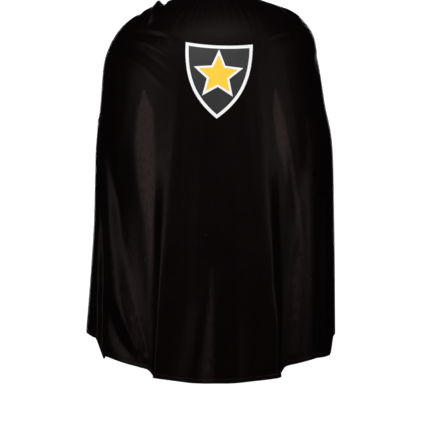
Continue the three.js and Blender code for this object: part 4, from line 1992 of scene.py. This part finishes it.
@dataclass
class Emblem:
    """A plain shield with a star, in thin layers of film pressed on the back of the cape."""

    half_width: float = 0.091
    dip: float = 0.007
    height: float = 0.206
    tilt: float = 2.0
    border: float = 0.0085
    points: int = 5
    star_out: float = 0.055
    star_in: float = 0.025
    star_edge: float = 0.006
    star_below: float = 0.088
    film: float = 0.00022
    first: float = 0.00026
    grain: float = 0.0034

    def _shield(self) -> Array:
        """The shield's outline."""
        w, h = self.half_width, self.height
        share = np.linspace(0, 1, 41)[:-1, None]
        top = (1 - share) ** 2 * np.array([0, -self.dip])
        top = top + 2 * share * (1 - share) * np.array([-w / 2, -self.dip]) + share**2 * np.array([-w, 0])
        knots = np.array([(-w, 0), (-1.02 * w, -0.5 * h), (-0.7 * w, -0.76 * h), (0, -h)])
        flank = sum(math.comb(3, k) * (1 - share) ** (3 - k) * share**k * knots[k] for k in range(4))
        half = np.concatenate([top, flank])
        mirrored = half[1:][::-1] * (-1, 1)
        return np.concatenate([half, [(0, -h)], mirrored])

    def _star(self) -> Array:
        """The star's outline."""
        turn = math.pi * np.arange(2 * self.points) / self.points
        radius = np.where(np.arange(2 * self.points) % 2, self.star_in, self.star_out)
        return np.stack([-radius * np.sin(turn), radius * np.cos(turn) - self.star_below], -1)

    @staticmethod
    def _moved(outline: Array, distance: float) -> Array:
        """The outline moved out by a distance, with mitred corners."""
        before = unit(outline - np.roll(outline, 1, axis=0))
        after = unit(np.roll(outline, -1, axis=0) - outline)
        out_before = np.stack([before[:, 1], -before[:, 0]], -1)
        out_after = np.stack([after[:, 1], -after[:, 0]], -1)
        middle = unit(out_before + out_after)
        return outline + middle * (distance / (middle * out_after).sum(-1, keepdims=True))

    def _dense(self, outline: Array) -> Array:
        """The outline with points no further apart than the grain, and its corners kept."""
        closed = np.concatenate([outline, outline[:1]])
        made = []
        for a, b in zip(closed[:-1], closed[1:]):
            steps = max(1, int(np.ceil(np.linalg.norm(b - a) / self.grain)))
            made.extend(a + (b - a) * k / steps for k in range(steps))
        return np.array(made)

    def _filled(self, outline: Array) -> tuple[Array, list[tuple[int, ...]]]:
        """The outline filled with small triangles."""
        ring = self._dense(outline)
        low, high = ring.min(0), ring.max(0)
        xs = np.arange(low[0] + self.grain / 2, high[0], self.grain)
        ys = np.arange(low[1] + self.grain / 2, high[1], self.grain * 0.866)
        grid_x, grid_y = np.meshgrid(xs, ys)
        grid_x = grid_x + (np.arange(len(ys)) % 2)[:, None] * self.grain / 2
        inner = np.stack([grid_x.ravel(), grid_y.ravel()], -1)
        d = np.roll(ring, -1, axis=0) - ring
        rel = inner[:, None] - ring
        share = np.clip((rel * d).sum(-1) / (d * d).sum(-1), 0, 1)
        gap = np.linalg.norm(rel - share[..., None] * d, axis=-1).min(1)
        inner = inner[gap > self.grain * 0.4]
        points = np.concatenate([ring, inner])
        edges = [(k, (k + 1) % len(ring)) for k in range(len(ring))]
        found = delaunay_2d_cdt([Vector(p) for p in points], edges, [list(range(len(ring)))], 1, 1e-7)
        return np.array([tuple(v) for v in found[0]]), [tuple(f) for f in found[2]]

    def _placed(self, flat: Array) -> Array:
        """Points of the flat emblem, tilted and moved to their place across and up the back."""
        turn = math.radians(self.tilt)
        spin = np.array([(math.cos(turn), -math.sin(turn)), (math.sin(turn), math.cos(turn))])
        outer = self._shield() @ spin
        low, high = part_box("emblem_shield_border")
        centre = np.array([(low.x + high.x) / 2, (low.z + high.z) / 2])
        return flat @ spin - (outer.min(0) + outer.max(0)) / 2 + centre

    def _layer(self, name: str, outline: Array, layer: int, back: BVHTree, material: Material) -> Piece:
        """One layer of film, laid on the cloth."""
        flat, faces = self._filled(outline)
        tops, lows = [], []
        level = self.first + layer * self.film
        for x, z in self._placed(flat):
            hit, normal, _, _ = back.ray_cast(Vector((x, -1.0, z)), Vector((0, 1, 0)))
            tops.append(hit + normal * level)
            lows.append(hit + normal * (level - self.film * 0.9))
        count = len(flat)
        sides = dict.fromkeys((i, j) for face in faces for i, j in zip(face, (*face[1:], face[0])))
        rim = [(i, j) for i, j in sides if (j, i) not in sides]
        closed = [*faces, *(tuple(reversed([i + count for i in f])) for f in faces)]
        closed += [(j, i, i + count, j + count) for i, j in rim]
        worn = np.zeros(count)
        worn[list({i for edge in rim for i in edge})] = 1.0
        points = np.array([*tops, *lows])
        twice = stacked(flat, flat), np.tile(worn, 2)
        return turned_outwards(make_object(name, points, closed, [material], None, *twice))

    def build(self, back: BVHTree, palette: Palette) -> list[Piece]:
        """Lays the four layers of film.

        Args:
            back: The outer face of the back panel.
            palette: The finishes.

        Returns:
            The layers, from the cloth outwards.
        """
        shield, star = self._shield(), self._star()
        field_, outline = self._moved(shield, -self.border), self._moved(star, self.star_edge)
        layers = (
            ("shield_border", shield, palette.white, "white_film"),
            ("shield_field", field_, palette.charcoal, "charcoal_film"),
            ("star_outline", outline, palette.white, "white_film"),
            ("star", star, palette.yellow, "yellow_film"),
        )
        made = []
        for level, (name, shape, material, slot) in enumerate(layers):
            film = self._layer(name, shape, level, back, material)
            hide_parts(f"emblem_{name}")
            made.append(film)
        return made


# ------------------------------------------------------------------ the room


@dataclass(frozen=True)
class SoftLight:
    """A soft light that looks at the middle of the cape."""

    name: str
    turn: float
    rise: float
    reach: float
    size: tuple[float, float]
    power: float


@dataclass
class Studio:
    """The floor, the lights and the camera."""

    distance: float = 4.5
    lens: float = 134.6
    eye: float = 0.5817
    floor_drop: float = 1.42
    floor_ends: tuple[float, float] = (-8.0, 4.0)
    floor_curve: float = 2.5
    wall_top: float = 9.0
    half_width: float = 9.0
    fill: Colour = (0.03, 0.028, 0.028)
    lights: tuple[SoftLight, ...] = (
        SoftLight("left_strip", -41, 0.5, 3.2, (0.55, 0.9), 29),
        SoftLight("right_strip", 41, 0.55, 3.2, (0.5, 0.8), 26),
        SoftLight("left_low", -39, -0.4, 3.2, (0.5, 0.7), 7),
        SoftLight("right_low", 39, -0.4, 3.2, (0.5, 0.7), 4.5),
        SoftLight("back_wash", 0, 2.6, 3.2, (2.4, 1.2), 88),
        SoftLight("overhead", 0, 2.6, 1.2, (2.4, 1.2), 4),
        SoftLight("left_front", -168, 0.3, 3.2, (1.8, 1.8), 110),
        SoftLight("right_front", 166, 0.6, 3.2, (1.8, 1.8), 90),
    )
    aim: float = 0.4

    def build(self) -> None:
        """Sets the room round the cape."""
        drop = -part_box("back_panel_drape")[0].z
        self._floor(-drop * self.floor_drop)
        self._world()
        centre = Vector((0, 0, -drop * self.aim))
        for light in self.lights:
            self._light(light, centre)
        camera = bpy.data.objects.new("camera", bpy.data.cameras.new("camera"))
        bpy.context.scene.collection.objects.link(camera)
        camera.location = (0, -self.distance, -drop * self.eye)
        camera.rotation_euler = (math.radians(90), 0, 0)
        camera.data.sensor_width = 36
        camera.data.lens = self.lens
        bpy.context.scene.camera = camera
        bpy.context.scene.view_settings.view_transform = "Standard"

    def _floor(self, height: float) -> None:
        """A wide pale floor that curves up behind."""
        back, curve = self.floor_ends[1], self.floor_curve
        profile = [(end, 0.0) for end in self.floor_ends]
        for turn in np.linspace(0, math.pi / 2, 13)[1:]:
            profile.append((back + curve * math.sin(turn), curve * (1 - math.cos(turn))))
        profile.append((back + curve, self.wall_top))
        points = [(x, y, height + z) for y, z in profile for x in (-self.half_width, self.half_width)]
        faces = [(2 * k, 2 * k + 1, 2 * k + 3, 2 * k + 2) for k in range(len(profile) - 1)]
        floor = make_object("floor", np.array(points), faces, [FloorFinish().build()], crease=180.0)

    def _world(self) -> None:
        """A bright room to look at, that lights the cape only a little."""
        world = bpy.data.worlds.new("studio")
        world.use_nodes = True
        nodes = Nodes(world.node_tree)
        dim = world.node_tree.nodes["Background"]
        dim.inputs["Color"].default_value = opaque(self.fill)
        bright = nodes.add("ShaderNodeBackground", {"Color": (1, 1, 1, 1), "Strength": 1.0})
        end = world.node_tree.nodes["World Output"]
        nodes.tree.links.new(nodes.choose(dim, bright), end.inputs["Surface"])
        bpy.context.scene.world = world

    @staticmethod
    def _light(light: SoftLight, centre: Vector) -> None:
        """Places one light."""
        data = bpy.data.lights.new(light.name, "AREA")
        data.shape = "RECTANGLE"
        data.size, data.size_y = light.size
        data.energy = light.power
        placed = bpy.data.objects.new(light.name, data)
        bpy.context.scene.collection.objects.link(placed)
        angle = math.radians(light.turn)
        across, back = math.sin(angle) * light.reach, math.cos(angle) * light.reach
        placed.location = centre + Vector((across, -back, light.rise))
        placed.rotation_euler = (centre - placed.location).to_track_quat("-Z", "Y").to_euler()


# ------------------------------------------------------------------ the whole cape


def face_tree(made: Piece, inside: bool) -> BVHTree:
    """The outer or inner face of a panel, to lay other pieces on."""
    mesh = made.data
    points = [v.co.copy() for v in mesh.vertices]
    faces = [tuple(p.vertices) for p in mesh.polygons if p.material_index == int(inside)]
    return BVHTree.FromPolygons(points, faces)


def report(pieces: list[Piece]) -> None:
    """Logs each piece and its size."""
    for piece in pieces:
        LOG.info("%-32s %6d points", piece.name, len(piece.data.vertices))


def main() -> None:
    """Builds the cape round the frame, piece by piece."""
    logging.basicConfig(level=logging.INFO, format="%(message)s")
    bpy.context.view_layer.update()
    palette = Palette()
    drape = Drape(folds=DRAPE_FOLDS, creases=DRAPE_CREASES)
    sheet = drape.build()
    # the panels carry the patches of painted highlight
    panels = Panels(strokes=PAINTED_HIGHLIGHTS).build(sheet, drape.seam, palette)
    report(list(panels.values()))
    outer = face_tree(panels["back_panel"], inside=False)
    inner = face_tree(panels["back_panel"], inside=True)

    hems = Hems().build(sheet, palette)
    seams = SideSeams().build(sheet, drape.seam, palette)
    emblem = Emblem().build(outer, palette)
    care = RibbonLabel("care_ribbon", "care_label", None, run=2, down=0, sewn_high=False).build(palette)
    Swing().apply(*panels.values(), *hems, *seams, *emblem, *care)
    report([*hems, *seams, *emblem, *care])

    size = RibbonLabel("size_ribbon", "size_label", Body.SHOULDERS, run=0, down=2).build(palette)
    band = Neckband().build(palette)
    neck = NeckLine.of_band(Neckband.thick)
    left = Tab(Side.LEFT, neck)
    right = Tab(Side.RIGHT, neck, span=77.65, lap=0.0059)
    closure = [*left.build(palette), *right.build(palette)]
    closure += TouchTape(Touch.LOOPS).on_tab(left, palette)
    closure += TouchTape(Touch.HOOKS).on_tab(right, palette)
    grips = [piece for side in Side for piece in ShoulderPad(side).build(inner, palette)]
    report([*size, *band, *closure, *grips])

    [h for h in hems if h.name.startswith("bottom")]
    for side in ("left", "right"):
        [h for h in hems if h.name.startswith(side)]
    Studio().build()


if __name__ == "__main__":
    main()
